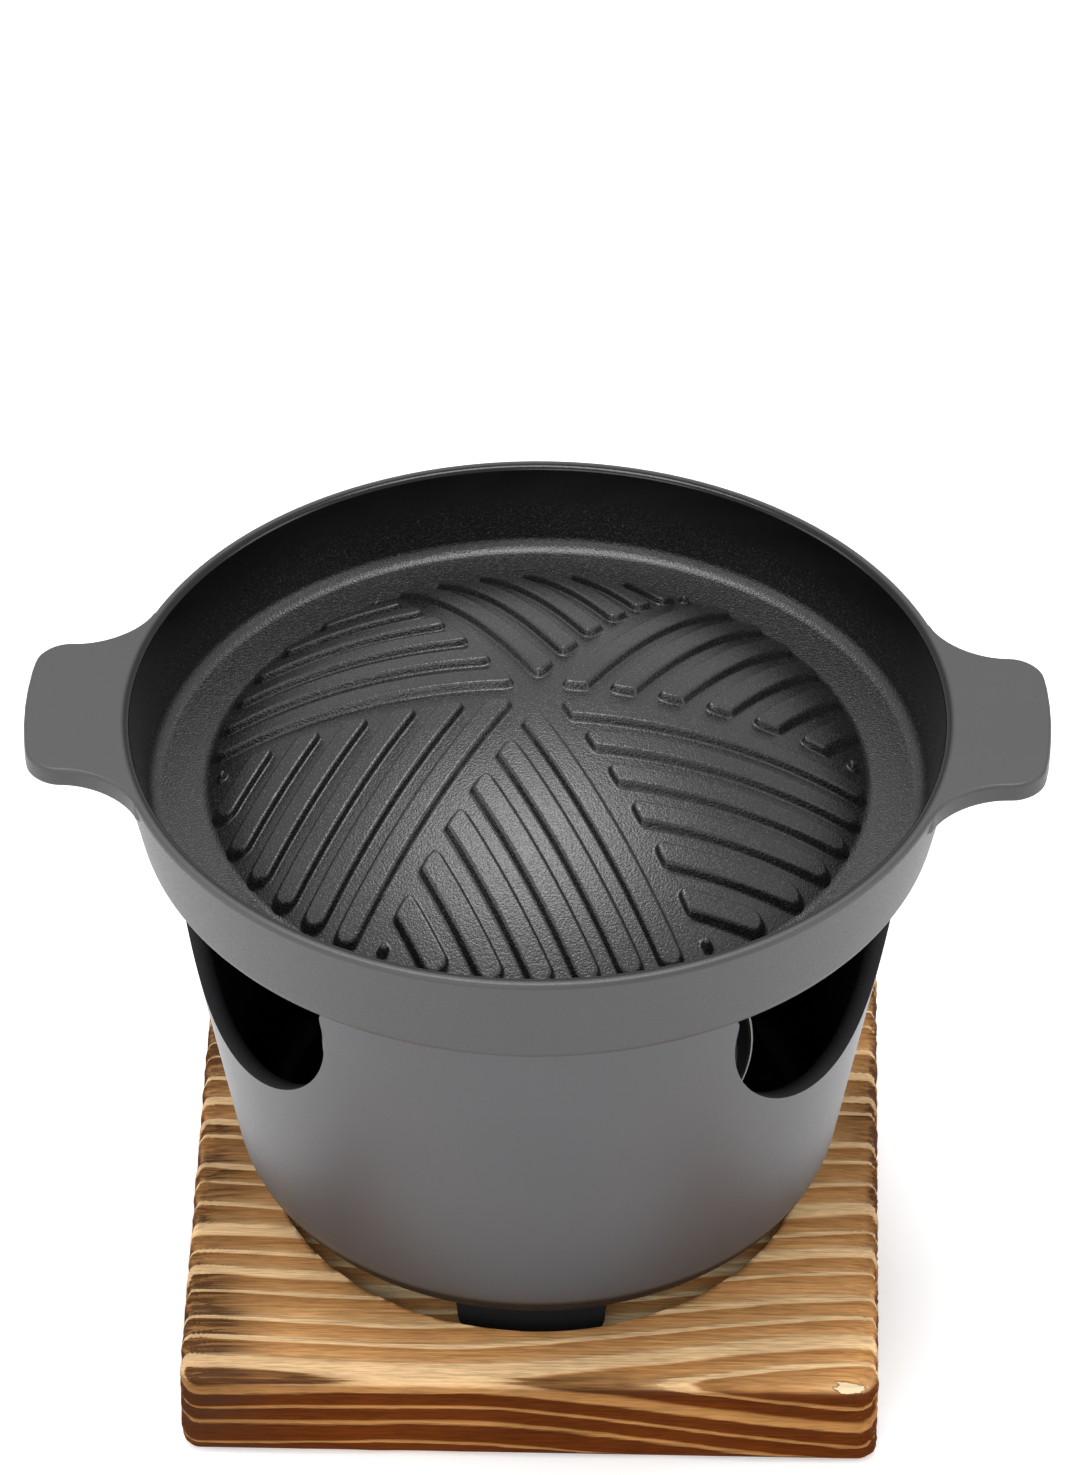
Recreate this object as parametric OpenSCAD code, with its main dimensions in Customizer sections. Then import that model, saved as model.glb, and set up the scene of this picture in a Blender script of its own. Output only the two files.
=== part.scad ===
// One-person tabletop grill in four loose pieces: a round grill pan with a
// ribbed dome, a cast stove whose rim is scalloped into posts, a sheet-metal
// burner cup and a square wooden base. Millimetres, front towards -Y, +Z up.

/* [Grill pan] */
// Outer diameter of the pan at its rim
pan_rim_d = 165; // [155:1:180]
// Height of the pan from its flat underside to its rim
pan_h = 23.5; // [21:0.5:30]
// How far the wall leans out from the underside to the rim, each side
pan_flare = 5; // [2:0.5:8]
// Thickness of the pan's wall
pan_wall = 2.8; // [2.2:0.1:4]
// Thickness of the flat floor of the moat
pan_floor = 6; // [4:0.1:7]
// Outside radius where the wall turns into the underside
pan_corner_r = 5; // [2:0.5:6]
// Inside radius between the wall and the moat
moat_fillet_r = 3; // [2:0.5:7]
// Rounding of the rim's two edges
pan_rim_edge_r = 1; // [0.4:0.1:1.1]

/* [Dome] */
// Width of the flat moat around the dome
moat_w = 11; // [8:0.5:16]
// Height of the dome above the moat
dome_h = 22; // [16:0.5:26]
// Thickness of the dome, which is hollow underneath
dome_wall = 3.5; // [2.6:0.1:5]

/* [Rib pattern] */
// Number of equal sectors in the pinwheel
sector_count = 6; // [5:1:8]
// Distance from one rib to the next
rib_pitch = 8.1; // [7:0.1:11]
// Width of a rib
rib_w = 5.1; // [3.6:0.1:6]
// Height of a rib above the dome
rib_h = 1.6; // [0.8:0.1:2.4]
// Width of the channel that runs from the hub along each sector's edge
spoke_channel_w = 4.4; // [3:0.1:7]
// Radius of the rib corners that face that channel
rib_tip_r = 1.1; // [0.5:0.1:1.5]
// How far the ribs stop short of the moat
rib_end_inset = 0.5; // [0.2:0.1:3]

/* [Ears] */
// How far each ear reaches out past the rim
ear_reach = 17.5; // [16:0.5:28]
// Width of an ear, front to back
ear_w = 40; // [30:1:50]
// Thickness of an ear
ear_thickness = 4.2; // [3:0.1:6]
// Radius of an ear's outer corners
ear_corner_r = 7; // [4:0.5:9]
// Radius of the hollow sweep between an ear and the rim
ear_root_r = 16; // [10:0.5:17]

/* [Stove body] */
// How far the pan's underside overhangs the stove's rim
pan_overhang = 3.5; // [3:0.5:6]
// Height of the bucket without its feet
bucket_h = 86; // [75:1:110]
// How far the bucket's wall leans out from the bottom to the rim, each side
bucket_flare = 15.5; // [10:0.5:18]
// Outside radius of the bucket's bottom corner
bucket_corner_r = 14; // [9:0.5:16]
// Thickness of the bucket's wall
bucket_wall = 3.5; // [2.8:0.1:5]
// Thickness of the bucket's floor
bucket_floor = 5; // [4:0.1:7]
// Inside radius between the bucket's wall and floor
bucket_fillet_r = 8; // [4:0.5:10]
// Rounding of the rim's two edges
bucket_rim_edge_r = 1; // [0.4:0.1:1.2]
// Number of scallops around the rim, with a post between each two
scallop_count = 3; // [3:1:4]
// Radius of a scallop's round bottom
scallop_r = 33; // [24:0.5:35]
// How far the centre of that round lies below the rim
scallop_drop = 5; // [4.5:0.5:10]
// Radius of the posts' top corners
post_corner_r = 4; // [2:0.5:4]
// Diameter of the raised seat under the burner
seat_d = 101; // [75:1:104]
// Height of that seat above the floor
seat_h = 3; // [1:0.1:5]

/* [Feet] */
// Height of the feet under the bucket
foot_h = 10; // [8:0.5:16]
// Width of a foot where it meets the bucket
foot_w = 31; // [20:1:40]
// Radial depth of a foot
foot_depth = 8; // [5:0.5:12]
// How far the feet stand in from the bucket's bottom corner
foot_inset = 9; // [6:0.5:12]
// Draft on each side of a foot over its height
foot_draft = 1.2; // [0:0.1:2]
// Radius of a foot's lower corners
foot_corner_r = 3; // [1:0.5:4]

/* [Burner cup] */
// Outer diameter of the cup's rim
cup_rim_d = 88; // [82:1:94]
// Height of the cup
cup_h = 19; // [16:0.5:24]
// Thickness of the sheet
cup_sheet = 0.9; // [0.7:0.1:1.4]
// Diameter of the bottom where the wall's line meets it
cup_bottom_d = 70; // [60:1:72]
// Lean of the wall below the ledge from upright, in degrees
cup_wall_lean = 12; // [8:1:17]
// Height of the ledge's upper face
cup_ledge_h = 14; // [11:0.5:15]
// Outside radius of the bottom bend
cup_bottom_r = 3.5; // [2.2:0.1:4.5]
// Inside radius of the two bends at the ledge
cup_bend_r = 0.8; // [0.5:0.1:1.2]
// Width of the flat ledge between the wall and the flared rim
cup_ledge_w = 2.6; // [1.8:0.1:4]
// Diameter of the bead that stiffens the rim's edge
cup_bead_d = 1.5; // [1.2:0.1:2]

/* [Wooden base] */
// Side of the square board
base_side = 138; // [132:1:180]
// Thickness of the board
base_thickness = 20; // [15:1:32]
// Radius of the board's upright corners
base_corner_r = 4; // [2.5:0.5:12]
// Radius of the board's long edges
base_edge_r = 2; // [0.8:0.2:3]
// Depth of the round recess for the stove
recess_depth = 6; // [3:0.5:8]
// Room left around the feet in the recess
recess_clearance = 4; // [2:0.5:8]

/* [Hidden] */
$fn = 96;

// Overlap that makes a cut pass cleanly through a face
overlap = 1;
// Share of its radius that an edge's round is set in, so that it meets the two
// faces at a clear angle
round_bite = 0.97;

// Pan, in its own frame with the underside at z = 0
pan_rim_r = pan_rim_d / 2;
pan_bottom_r = pan_rim_r - pan_flare;
pan_lean = atan(pan_flare / pan_h);
pan_inside_shift = pan_wall / cos(pan_lean);
moat_r = pan_side_r(pan_floor) - pan_inside_shift;
dome_r = moat_r - moat_w;
dome_sphere_r = (pow(dome_r, 2) + pow(dome_h, 2)) / (2 * dome_h);
dome_centre_z = pan_floor + dome_h - dome_sphere_r;
dome_hollow_r = dome_sphere_r - dome_wall;

// Rib pattern
sector_angle = 360 / sector_count;
rib_end_r = dome_r - rib_end_inset;
rib_root_depth = dome_wall / 2;
last_rib = floor((rib_end_r * sin(sector_angle) - spoke_channel_w / 2) / rib_pitch);
tip_steps = 4;

// Ears
ear_tip_r = pan_rim_r + ear_reach;
ear_corner_y = ear_w / 2 - ear_corner_r * round_bite;
ear_corner_centre_r = ear_tip_r - ear_corner_r * round_bite;
ear_corner_x = sqrt(pow(ear_corner_centre_r, 2) - pow(ear_corner_y, 2));
ear_root_y = ear_w / 2 + ear_root_r;
ear_root_x = sqrt(pow(pan_rim_r + ear_root_r, 2) - pow(ear_root_y, 2));

// Stove, in its own frame with the bucket's underside at z = 0
stove_rim_r = pan_bottom_r - pan_overhang;
bucket_bottom_r = stove_rim_r - bucket_flare;
bucket_lean = atan(bucket_flare / bucket_h);
bucket_inside_shift = bucket_wall / cos(bucket_lean);
seat_z = bucket_floor + seat_h;
foot_ring_r = bucket_bottom_r - foot_inset;
foot_root_h = bucket_floor * 0.6;

// Burner cup, in its own frame with its bottom at z = 0
cup_ledge_under_z = cup_ledge_h - cup_sheet;
cup_bead_r = (cup_rim_d - cup_bead_d) / 2;
cup_bead_z = cup_h - cup_bead_d / 2;
cup_rim_foot_r = cup_inside_r(cup_ledge_h) + cup_ledge_w;
cup_rim_run = [cup_bead_r - cup_rim_foot_r, cup_bead_z - cup_ledge_h];
cup_rim_lean = acos(cup_sheet / 2 / norm(cup_rim_run)) - atan2(cup_rim_run.y, cup_rim_run.x);

// Base
recess_r = foot_ring_r + recess_clearance;

// Where each piece stands in the assembled grill
stove_z = base_thickness - recess_depth + foot_h;
cup_z = stove_z + seat_z;
pan_z = stove_z + bucket_h;

// Unit step in a direction
function bearing(angle) = [cos(angle), sin(angle)];

// Outside radius of the pan's wall at a height
function pan_side_r(z) = pan_bottom_r + pan_flare * z / pan_h;

// Outside radius of the bucket's wall at a height
function bucket_side_r(z) = bucket_bottom_r + bucket_flare * z / bucket_h;

// Inside radius of the cup's lower wall at a height
function cup_inside_r(z) =
    cup_bottom_d / 2 + z * tan(cup_wall_lean) - cup_sheet / cos(cup_wall_lean);

// Radius where a face of the cup's rim wall meets the ledge: face is 1 for the
// inner face on top of the ledge and -1 for the outer face under it
function cup_rise_r(face) =
    let (z = face > 0 ? cup_ledge_h : cup_ledge_under_z)
    cup_bead_r - (cup_bead_z - z) * tan(cup_rim_lean) - face * cup_sheet / 2 / cos(cup_rim_lean);

// Half section of a tapered vessel: a leaning side of slope lean that meets
// the level z0 at radius r0, rounded there with corner_r, up to z1
module vessel_half_section(r0, z0, z1, lean, corner_r) {
    side_top_r = r0 + (z1 - z0) * tan(lean);
    centre_r = r0 + corner_r * tan(lean) - corner_r / cos(lean);
    polygon([
        [0, z0],
        [centre_r, z0],
        [centre_r + corner_r * cos(lean), z0 + corner_r - corner_r * sin(lean)],
        [side_top_r, z1],
        [0, z1]
    ]);
    translate([centre_r, z0 + corner_r])
        circle(r = corner_r);
}

// Piece to cut from the edge of a leaning rim so that it is left round; turn is
// 1 for the outer edge and -1 for the inner one
module rim_edge_cut(edge_r, top_z, lean, round_r, turn) {
    inset = round_r * round_bite;
    centre = [edge_r - inset * (tan(lean) + turn / cos(lean)), top_z - inset];
    outward = turn * [cos(lean), -sin(lean)];
    side = [centre, centre + (round_r + overlap) * outward];
    top = [
        [edge_r + turn * overlap, top_z + overlap],
        [centre.x, top_z + overlap]
    ];
    difference() {
        polygon(turn > 0 ? [each side, each top] : [top[1], top[0], side[1], side[0]]);
        translate(centre)
            circle(r = round_r);
    }
}

// Half section of the pan: wall, moat and hollow dome
module pan_half_section() {
    inside_rim_r = pan_rim_r - pan_inside_shift;
    difference() {
        union() {
            difference() {
                vessel_half_section(pan_bottom_r, 0, pan_h, pan_lean, pan_corner_r);
                vessel_half_section(moat_r, pan_floor, pan_h + overlap, pan_lean, moat_fillet_r);
                rim_edge_cut(pan_rim_r, pan_h, pan_lean, pan_rim_edge_r, 1);
                rim_edge_cut(inside_rim_r, pan_h, pan_lean, pan_rim_edge_r, -1);
            }
            intersection() {
                translate([0, dome_centre_z])
                    circle(r = dome_sphere_r);
                translate([0, pan_floor - overlap])
                    square([moat_r, dome_h + 2 * overlap]);
            }
        }
        translate([0, dome_centre_z])
            circle(r = dome_hollow_r);
    }
}

// Points around a rib's corner, from one direction to another
function corner_arc(centre, from, to) = [
    for (step = [0 : tip_steps])
        centre + rib_tip_r * bearing(from + (to - from) * step / tip_steps)
];

// Plan of one rib, at its place in a sector whose ribs run along +X. The inner
// end is cut parallel to the sector's far edge, and the outer end is round.
module rib_plan(index) {
    near_y = -spoke_channel_w / 2 - index * rib_pitch;
    far_y = near_y - rib_w;
    mid_y = near_y - rib_w / 2;
    end_x = sqrt(max(pow(rib_end_r - rib_w / 2, 2) - pow(mid_y, 2), 0));
    near_tip_x = spoke_channel_w / 2 / sin(sector_angle) - near_y / tan(sector_angle);
    far_tip_x = near_tip_x + rib_w / tan(sector_angle);
    near_centre = [near_tip_x + rib_tip_r / tan(sector_angle / 2), near_y - rib_tip_r];
    far_centre = [far_tip_x + rib_tip_r * tan(sector_angle / 2), far_y + rib_tip_r];
    if (end_x > far_centre.x) {
        polygon([
            [end_x, near_y],
            each corner_arc(near_centre, 90, 270 - sector_angle),
            each corner_arc(far_centre, 270 - sector_angle, 270),
            [end_x, far_y]
        ]);
        translate([end_x, mid_y])
            circle(d = rib_w);
    }
    else if (norm(near_centre) + rib_tip_r < rib_end_r)
        translate(near_centre)
            circle(r = rib_tip_r);
}

// Plan of the whole pinwheel, whose first sector edge lies on +X
module pinwheel_plan() {
    for (sector = [0 : sector_count - 1])
        rotate(sector * sector_angle)
            for (index = [0 : last_rib])
                rib_plan(index);
}

// Ribs that follow the dome and root a little way into it
module dome_ribs() {
    intersection() {
        translate([0, 0, dome_centre_z])
            difference() {
                sphere(r = dome_sphere_r + rib_h);
                sphere(r = dome_sphere_r - rib_root_depth);
            }
        linear_extrude(height = pan_floor + dome_h + rib_h + overlap)
            pinwheel_plan();
    }
}

// Plan of one ear on the +X side: a blank between two radial lines, cut back to
// the ear's sides, its round corners and the hollow sweeps into the rim
module ear_plan() {
    root_centre = [ear_root_x, ear_root_y];
    blank_foot = root_centre * (pan_rim_r - ear_root_r) / pan_rim_r;
    difference() {
        intersection() {
            polygon([
                [blank_foot.x, -blank_foot.y],
                [root_centre.x, -root_centre.y],
                [ear_tip_r, -root_centre.y],
                [ear_tip_r, root_centre.y],
                root_centre,
                blank_foot
            ]);
            circle(r = ear_tip_r);
        }
        for (side = [0, 1])
            mirror([0, side])
                ear_side_cut();
        circle(r = pan_rim_r - pan_wall / 2);
    }
}

// What is cut away on one side of an ear's blank
module ear_side_cut() {
    corner_centre = [ear_corner_x, ear_corner_y];
    translate([ear_root_x, ear_root_y])
        circle(r = ear_root_r);
    translate([ear_root_x, ear_w / 2])
        square([ear_tip_r - ear_root_x + overlap, ear_root_y]);
    difference() {
        polygon([
            corner_centre,
            corner_centre * (ear_tip_r + overlap) / ear_corner_centre_r,
            [ear_tip_r + overlap, ear_w / 2 + overlap],
            [ear_corner_x, ear_w / 2 + overlap]
        ]);
        translate(corner_centre)
            circle(r = ear_corner_r);
    }
}

module grill_pan() {
    color("#3b3b3d")
        translate([0, 0, pan_z]) {
            rotate_extrude()
                pan_half_section();
            dome_ribs();
            for (turn = [0, 180])
                rotate(turn)
                    translate([0, 0, pan_h - ear_thickness])
                        linear_extrude(height = ear_thickness)
                            ear_plan();
        }
}

// Half section of the bucket with its floor and the raised burner seat
module bucket_half_section() {
    inside_rim_r = stove_rim_r - bucket_inside_shift;
    inside_floor_r = bucket_side_r(bucket_floor) - bucket_inside_shift;
    difference() {
        vessel_half_section(bucket_bottom_r, 0, bucket_h, bucket_lean, bucket_corner_r);
        vessel_half_section(inside_floor_r, bucket_floor, bucket_h + overlap, bucket_lean,
            bucket_fillet_r);
        rim_edge_cut(stove_rim_r, bucket_h, bucket_lean, bucket_rim_edge_r, 1);
        rim_edge_cut(inside_rim_r, bucket_h, bucket_lean, bucket_rim_edge_r, -1);
    }
    translate([0, bucket_floor - overlap])
        square([seat_d / 2, seat_h + overlap]);
}

// Outline of one scallop seen along its axis, with the rim at y = 0
module scallop_outline() {
    corner_x = scallop_r + post_corner_r;
    corner_y = -post_corner_r * round_bite;
    translate([0, -scallop_drop])
        circle(r = scallop_r);
    translate([-scallop_r, -scallop_drop])
        square([2 * scallop_r, scallop_drop + overlap]);
    difference() {
        translate([-corner_x, corner_y])
            square([2 * corner_x, post_corner_r]);
        for (side = [-1, 1])
            translate([side * corner_x, corner_y])
                circle(r = post_corner_r);
    }
}

// Front view of one foot, with the bucket's underside at y = 0
module foot_outline() {
    top_x = foot_w / 2;
    low_x = top_x - foot_draft;
    hull_x = low_x - foot_corner_r;
    polygon([
        [-top_x, foot_root_h],
        [-low_x, foot_corner_r - foot_h],
        [-hull_x, -foot_h],
        [hull_x, -foot_h],
        [low_x, foot_corner_r - foot_h],
        [top_x, foot_root_h]
    ]);
    for (side = [-1, 1])
        translate([side * hull_x, foot_corner_r - foot_h])
            circle(r = foot_corner_r);
}

// One foot at the front, cut from a ring so that it follows the bucket
module foot() {
    intersection() {
        rotate([90, 0, 0])
            linear_extrude(height = foot_ring_r + overlap)
                foot_outline();
        translate([0, 0, -foot_h - overlap])
            difference() {
                cylinder(r = foot_ring_r, h = foot_h + foot_root_h + 2 * overlap);
                translate([0, 0, -overlap])
                    cylinder(r = foot_ring_r - foot_depth, h = foot_h + foot_root_h + 4 * overlap);
            }
    }
}

module stove_body() {
    color("#6f7074")
        translate([0, 0, stove_z]) {
            difference() {
                rotate_extrude()
                    bucket_half_section();
                for (index = [0 : scallop_count - 1])
                    rotate(index * 360 / scallop_count + 180)
                        translate([0, 0, bucket_h])
                            rotate([90, 0, 0])
                                linear_extrude(height = stove_rim_r + overlap)
                                    scallop_outline();
            }
            for (index = [0 : scallop_count - 1])
                rotate((index + 0.5) * 360 / scallop_count + 180)
                    foot();
        }
}

// Half section of the cup: bottom, leaning wall, ledge, flared rim and bead
module cup_half_section() {
    difference() {
        union() {
            vessel_half_section(cup_bottom_d / 2, 0, cup_ledge_h, cup_wall_lean, cup_bottom_r);
            vessel_half_section(cup_rise_r(-1), cup_ledge_under_z, cup_bead_z, cup_rim_lean,
                cup_bend_r + cup_sheet);
        }
        vessel_half_section(cup_inside_r(cup_sheet), cup_sheet, cup_h, cup_wall_lean,
            cup_bottom_r - cup_sheet);
        vessel_half_section(cup_rise_r(1), cup_ledge_h, cup_h, cup_rim_lean, cup_bend_r);
        rim_edge_cut(cup_inside_r(cup_ledge_h), cup_ledge_h, cup_wall_lean, cup_bend_r, -1);
    }
    translate([cup_bead_r, cup_bead_z])
        circle(d = cup_bead_d);
}

module burner_cup() {
    color("#b9b7b2")
        translate([0, 0, cup_z])
            rotate_extrude()
                cup_half_section();
}

// Plan of a rectangle with round corners, centred on the origin
module round_rectangle(width, depth, corner_r) {
    square([width - 2 * corner_r, depth], center = true);
    square([width, depth - 2 * corner_r], center = true);
    for (x = [-1, 1], y = [-1, 1])
        translate([x * (width / 2 - corner_r), y * (depth / 2 - corner_r)])
            circle(r = corner_r);
}

// Prism across the board that carries its long rounded edges
module board_edge_prism(turn) {
    rotate(turn)
        translate([0, base_side / 2, base_thickness / 2])
            rotate([90, 0, 0])
                linear_extrude(height = base_side)
                    round_rectangle(base_side, base_thickness, base_edge_r);
}

module wooden_base() {
    color("#b07a3e")
        difference() {
            intersection() {
                linear_extrude(height = base_thickness)
                    round_rectangle(base_side, base_side, base_corner_r);
                board_edge_prism(0);
                board_edge_prism(90);
            }
            translate([0, 0, base_thickness - recess_depth])
                cylinder(r = recess_r, h = recess_depth + overlap);
        }
}

wooden_base();
stove_body();
burner_cup();
grill_pan();
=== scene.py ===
# %% [markdown]
# # A one-person tabletop grill
# The real grill is a stack of four loose pieces: a scorched board, a cast stove, a pressed
# burner cup and a cast pan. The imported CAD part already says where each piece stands, so this
# lesson builds finer meshes in the same place and gives them their finishes. Everything is
# modelled in millimetres, as on a workshop drawing, and made metres in the last step of a piece.

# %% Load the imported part
from math import asin, atan, cos, floor, pi, radians, sin, sqrt, tan

import bmesh
import bpy
from bmesh.types import BMEdge, BMFace, BMVert
from mathutils import Matrix, Vector, noise


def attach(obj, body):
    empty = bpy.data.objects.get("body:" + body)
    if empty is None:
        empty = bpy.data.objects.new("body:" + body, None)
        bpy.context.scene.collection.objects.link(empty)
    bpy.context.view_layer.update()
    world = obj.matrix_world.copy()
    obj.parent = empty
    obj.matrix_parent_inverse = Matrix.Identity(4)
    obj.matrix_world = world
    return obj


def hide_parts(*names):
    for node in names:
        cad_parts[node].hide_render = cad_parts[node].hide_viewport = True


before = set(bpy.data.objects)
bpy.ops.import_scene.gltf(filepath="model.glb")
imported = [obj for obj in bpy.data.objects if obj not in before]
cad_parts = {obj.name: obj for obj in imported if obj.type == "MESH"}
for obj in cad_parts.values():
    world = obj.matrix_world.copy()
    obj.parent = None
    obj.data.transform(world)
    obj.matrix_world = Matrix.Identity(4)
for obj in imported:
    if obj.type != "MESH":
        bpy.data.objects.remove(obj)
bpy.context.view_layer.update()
MM = 0.001
WELD = 1e-4

# %% [markdown]
# ## Workshop helpers
# Most of the pieces are turned: a section is drawn as a wire, its corners are rounded by a
# vertex bevel, and the wire is spun about the axis. A bevel's offset runs along the edges, so
# a wanted radius is first turned into that length. Where a shape isn't round, an open loop of
# edges is pulled through a section instead. One last helper merges the doubles, points the faces
# outwards, keeps the hard edges hard and hands the piece to its body.

# %% Wires and rounds
def draw_wire(bm, points):
    """A chain of edges through (radius, height) points in the XZ plane."""
    verts = [bm.verts.new((r, 0, z)) for r, z in points]
    for first, second in zip(verts, verts[1:]):
        bm.edges.new((first, second))
    return verts


def round_corner(bm, vert, radius, segments):
    """Rounds the corner of a wire or a flat face to about a radius."""
    arms = [e.other_vert(vert).co - vert.co for e in vert.link_edges]
    offset = radius / tan(arms[0].angle(arms[1]) / 2)
    bmesh.ops.bevel(bm, geom=[vert], offset=offset, offset_type="ABSOLUTE", segments=segments,
                    profile=0.5, affect="VERTICES", material=-1)


print("helpers: wires and rounded corners")


# %% Turning a wire
def only(geom, kind):
    """The vertices, edges or faces among what an operator made."""
    return [g for g in geom if isinstance(g, kind)]


def swing(bm, vert, centre_z, angle, steps):
    """Draws an arc from a vertex about a centre on the axis, and returns its far end."""
    made = bmesh.ops.spin(bm, geom=[vert], cent=(0, 0, centre_z), axis=(0, 1, 0),
                          angle=angle, steps=steps, use_duplicate=False)
    return only(made["geom_last"], BMVert)[0]


def turn_round(bm, steps):
    """Spins the whole wire about the upright axis into a closed skin."""
    bmesh.ops.spin(bm, geom=bm.verts[:] + bm.edges[:], cent=(0, 0, 0), axis=(0, 0, 1),
                   angle=2 * pi, steps=steps, use_merge=True, use_duplicate=False)
    bmesh.ops.remove_doubles(bm, verts=bm.verts[:], dist=WELD)


print("helpers: arcs and turned skins")


# %% Handing a mesh over
def pour(bm, other):
    """Adds a second bmesh to the first one and empties it."""
    mould = bpy.data.meshes.new("mould")
    other.to_mesh(mould)
    other.free()
    bm.from_mesh(mould)
    bpy.data.meshes.remove(mould)


def open_edges(mesh):
    """How many edges aren't shared by exactly two faces."""
    uses = [0] * len(mesh.edges)
    for loop in mesh.loops:
        uses[loop.edge_index] += 1
    return sum(1 for count in uses if count != 2)


print("helpers: pouring meshes together and counting open edges")


# %% Finishing a piece
def finish_piece(bm, name, height, body, node, material, hard=40):
    """Makes the object from a millimetre bmesh whose own zero stands at a height."""
    bmesh.ops.remove_doubles(bm, verts=bm.verts[:], dist=WELD)
    bmesh.ops.recalc_face_normals(bm, faces=bm.faces[:])
    for face in bm.faces:
        face.smooth = True
    for edge in bm.edges:
        edge.smooth = edge.calc_face_angle(0) < radians(hard)
    bmesh.ops.translate(bm, verts=bm.verts[:], vec=(0, 0, height))
    bmesh.ops.scale(bm, verts=bm.verts[:], vec=(MM, MM, MM))
    mesh = bpy.data.meshes.new(name)
    bm.to_mesh(mesh)
    bm.free()
    mesh.materials.append(material)
    piece = bpy.data.objects.new(name, mesh)
    bpy.context.scene.collection.objects.link(piece)
    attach(piece, body)
    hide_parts(node)
    print(name, "faces", len(mesh.polygons), "open edges", open_edges(mesh))
    return piece


def flat_faces_first(piece):
    """Lets large flat faces rule the shading, so that rounds stay narrow."""
    weighted = piece.modifiers.new("weighted_normals", "WEIGHTED_NORMAL")
    weighted.keep_sharp = True


print("helpers: finished pieces, one unit is", MM, "m")

# %% [markdown]
# ## Node helpers
# A material is a small graph. One helper adds a node and fills its inputs, either with a number
# or with a link, and the others shorten sums and mixes. Nothing here knows about the grill.

# %% Nodes and sums
def add(tree, kind, inputs=None, **settings):
    """Adds a node, sets its options and fills or links its inputs."""
    made = tree.nodes.new(kind)
    for option, value in settings.items():
        setattr(made, option, value)
    for key, value in (inputs or {}).items():
        if isinstance(value, bpy.types.NodeSocket):
            tree.links.new(value, made.inputs[key])
        else:
            made.inputs[key].default_value = value
    return made


def sums(tree, operation, first, second=0.0, clamp=False):
    """One step of arithmetic."""
    made = add(tree, "ShaderNodeMath", {0: first, 1: second}, operation=operation, use_clamp=clamp)
    return made.outputs[0]


def times(tree, first, second):
    return sums(tree, "MULTIPLY", first, second)


def ease(tree, value, low, high, to_low=0.0, to_high=1.0):
    """A soft step from one value to another."""
    made = add(tree, "ShaderNodeMapRange", {"Value": value, "From Min": low, "From Max": high,
                                            "To Min": to_low, "To Max": to_high},
               interpolation_type="SMOOTHSTEP")
    return made.outputs["Result"]


def fade(tree, share, first, second):
    """Goes softly from one value to another as a share climbs from 0 to 1."""
    return ease(tree, share, 0.0, 1.0, first, second)


print("helpers: nodes, sums and soft steps")

# %% Noise and colours
# A Mix node keeps its colour sockets at these places, and noise keeps mostly to this span.
MIX_SHARE, MIX_FIRST, MIX_SECOND, MIX_OUT = 0, 6, 7, 2
NOISE_SPAN = (0.3, 0.7)


def speckle(tree, place, scale, detail, **inputs):
    """Noise at a place of the surface."""
    return add(tree, "ShaderNodeTexNoise", {"Vector": place, "Scale": scale, "Detail": detail,
                                            **inputs}).outputs[0]


def vary(tree, speckles, low, high):
    """Spreads noise over a range of values."""
    return ease(tree, speckles, *NOISE_SPAN, low, high)


def mix_colour(tree, share, first, second, blend="MIX"):
    """Mixes two colours, given as sockets or as linear red, green, blue."""
    made = add(tree, "ShaderNodeMix", data_type="RGBA", blend_type=blend)
    for key, value in ((MIX_SHARE, share), (MIX_FIRST, first), (MIX_SECOND, second)):
        if isinstance(value, bpy.types.NodeSocket):
            tree.links.new(value, made.inputs[key])
        else:
            made.inputs[key].default_value = value if isinstance(value, float) else (*value, 1.0)
    return made.outputs[MIX_OUT]


print("helpers: noise and mixed colours")


# %% Materials
def object_place(tree):
    """Where a point is on its piece."""
    return add(tree, "ShaderNodeTexCoord").outputs["Object"]


def set_bump(tree, shader, height, strength, distance):
    """Feeds a height to the shader's normal."""
    bump = add(tree, "ShaderNodeBump", {"Height": height, "Strength": strength, "Distance": distance})
    tree.links.new(bump.outputs[0], shader.inputs["Normal"])


def start_material(name):
    """A material, its graph and its Principled shader."""
    material = bpy.data.materials.new(name)
    material.use_nodes = True
    return material, material.node_tree, material.node_tree.nodes["Principled BSDF"]


print("helpers: materials with a Principled shader")

# %% [markdown]
# ## The sprayed coat on both castings
# The pan and the stove are sprayed: a fine orange-peel grain, a soft unevenness in tone and,
# where the coat is non-stick, small pale flecks painted in as glints. Both castings share this
# effect, so it is one node group with its own scales.

# %% Coat group
MOTTLE_SCALE, FLECK_CONTRAST = 55.0, 12.0


def make_coat_group():
    group = bpy.data.node_groups.new("sprayed_coat", "ShaderNodeTree")
    for name, value in (("Grain", 1500.0), ("Fleck", 2400.0), ("Rarity", 0.62)):
        socket = group.interface.new_socket(name, in_out="INPUT", socket_type="NodeSocketFloat")
        socket.default_value = value
    for name in ("Height", "Flecks", "Mottle"):
        group.interface.new_socket(name, in_out="OUTPUT", socket_type="NodeSocketFloat")
    given = add(group, "NodeGroupInput").outputs
    place = object_place(group)
    fleck = speckle(group, place, given["Fleck"], 1.0, Roughness=0.4)
    above = sums(group, "SUBTRACT", fleck, given["Rarity"])
    add(group, "NodeGroupOutput", {
        "Height": speckle(group, place, given["Grain"], 2.0, Roughness=0.6),
        "Flecks": sums(group, "MULTIPLY", above, FLECK_CONTRAST, clamp=True),
        "Mottle": speckle(group, place, MOTTLE_SCALE, 4.0)})
    return group


sprayed_coat = make_coat_group()
print("coat group sockets:", [s.name for s in sprayed_coat.interface.items_tree])
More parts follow.
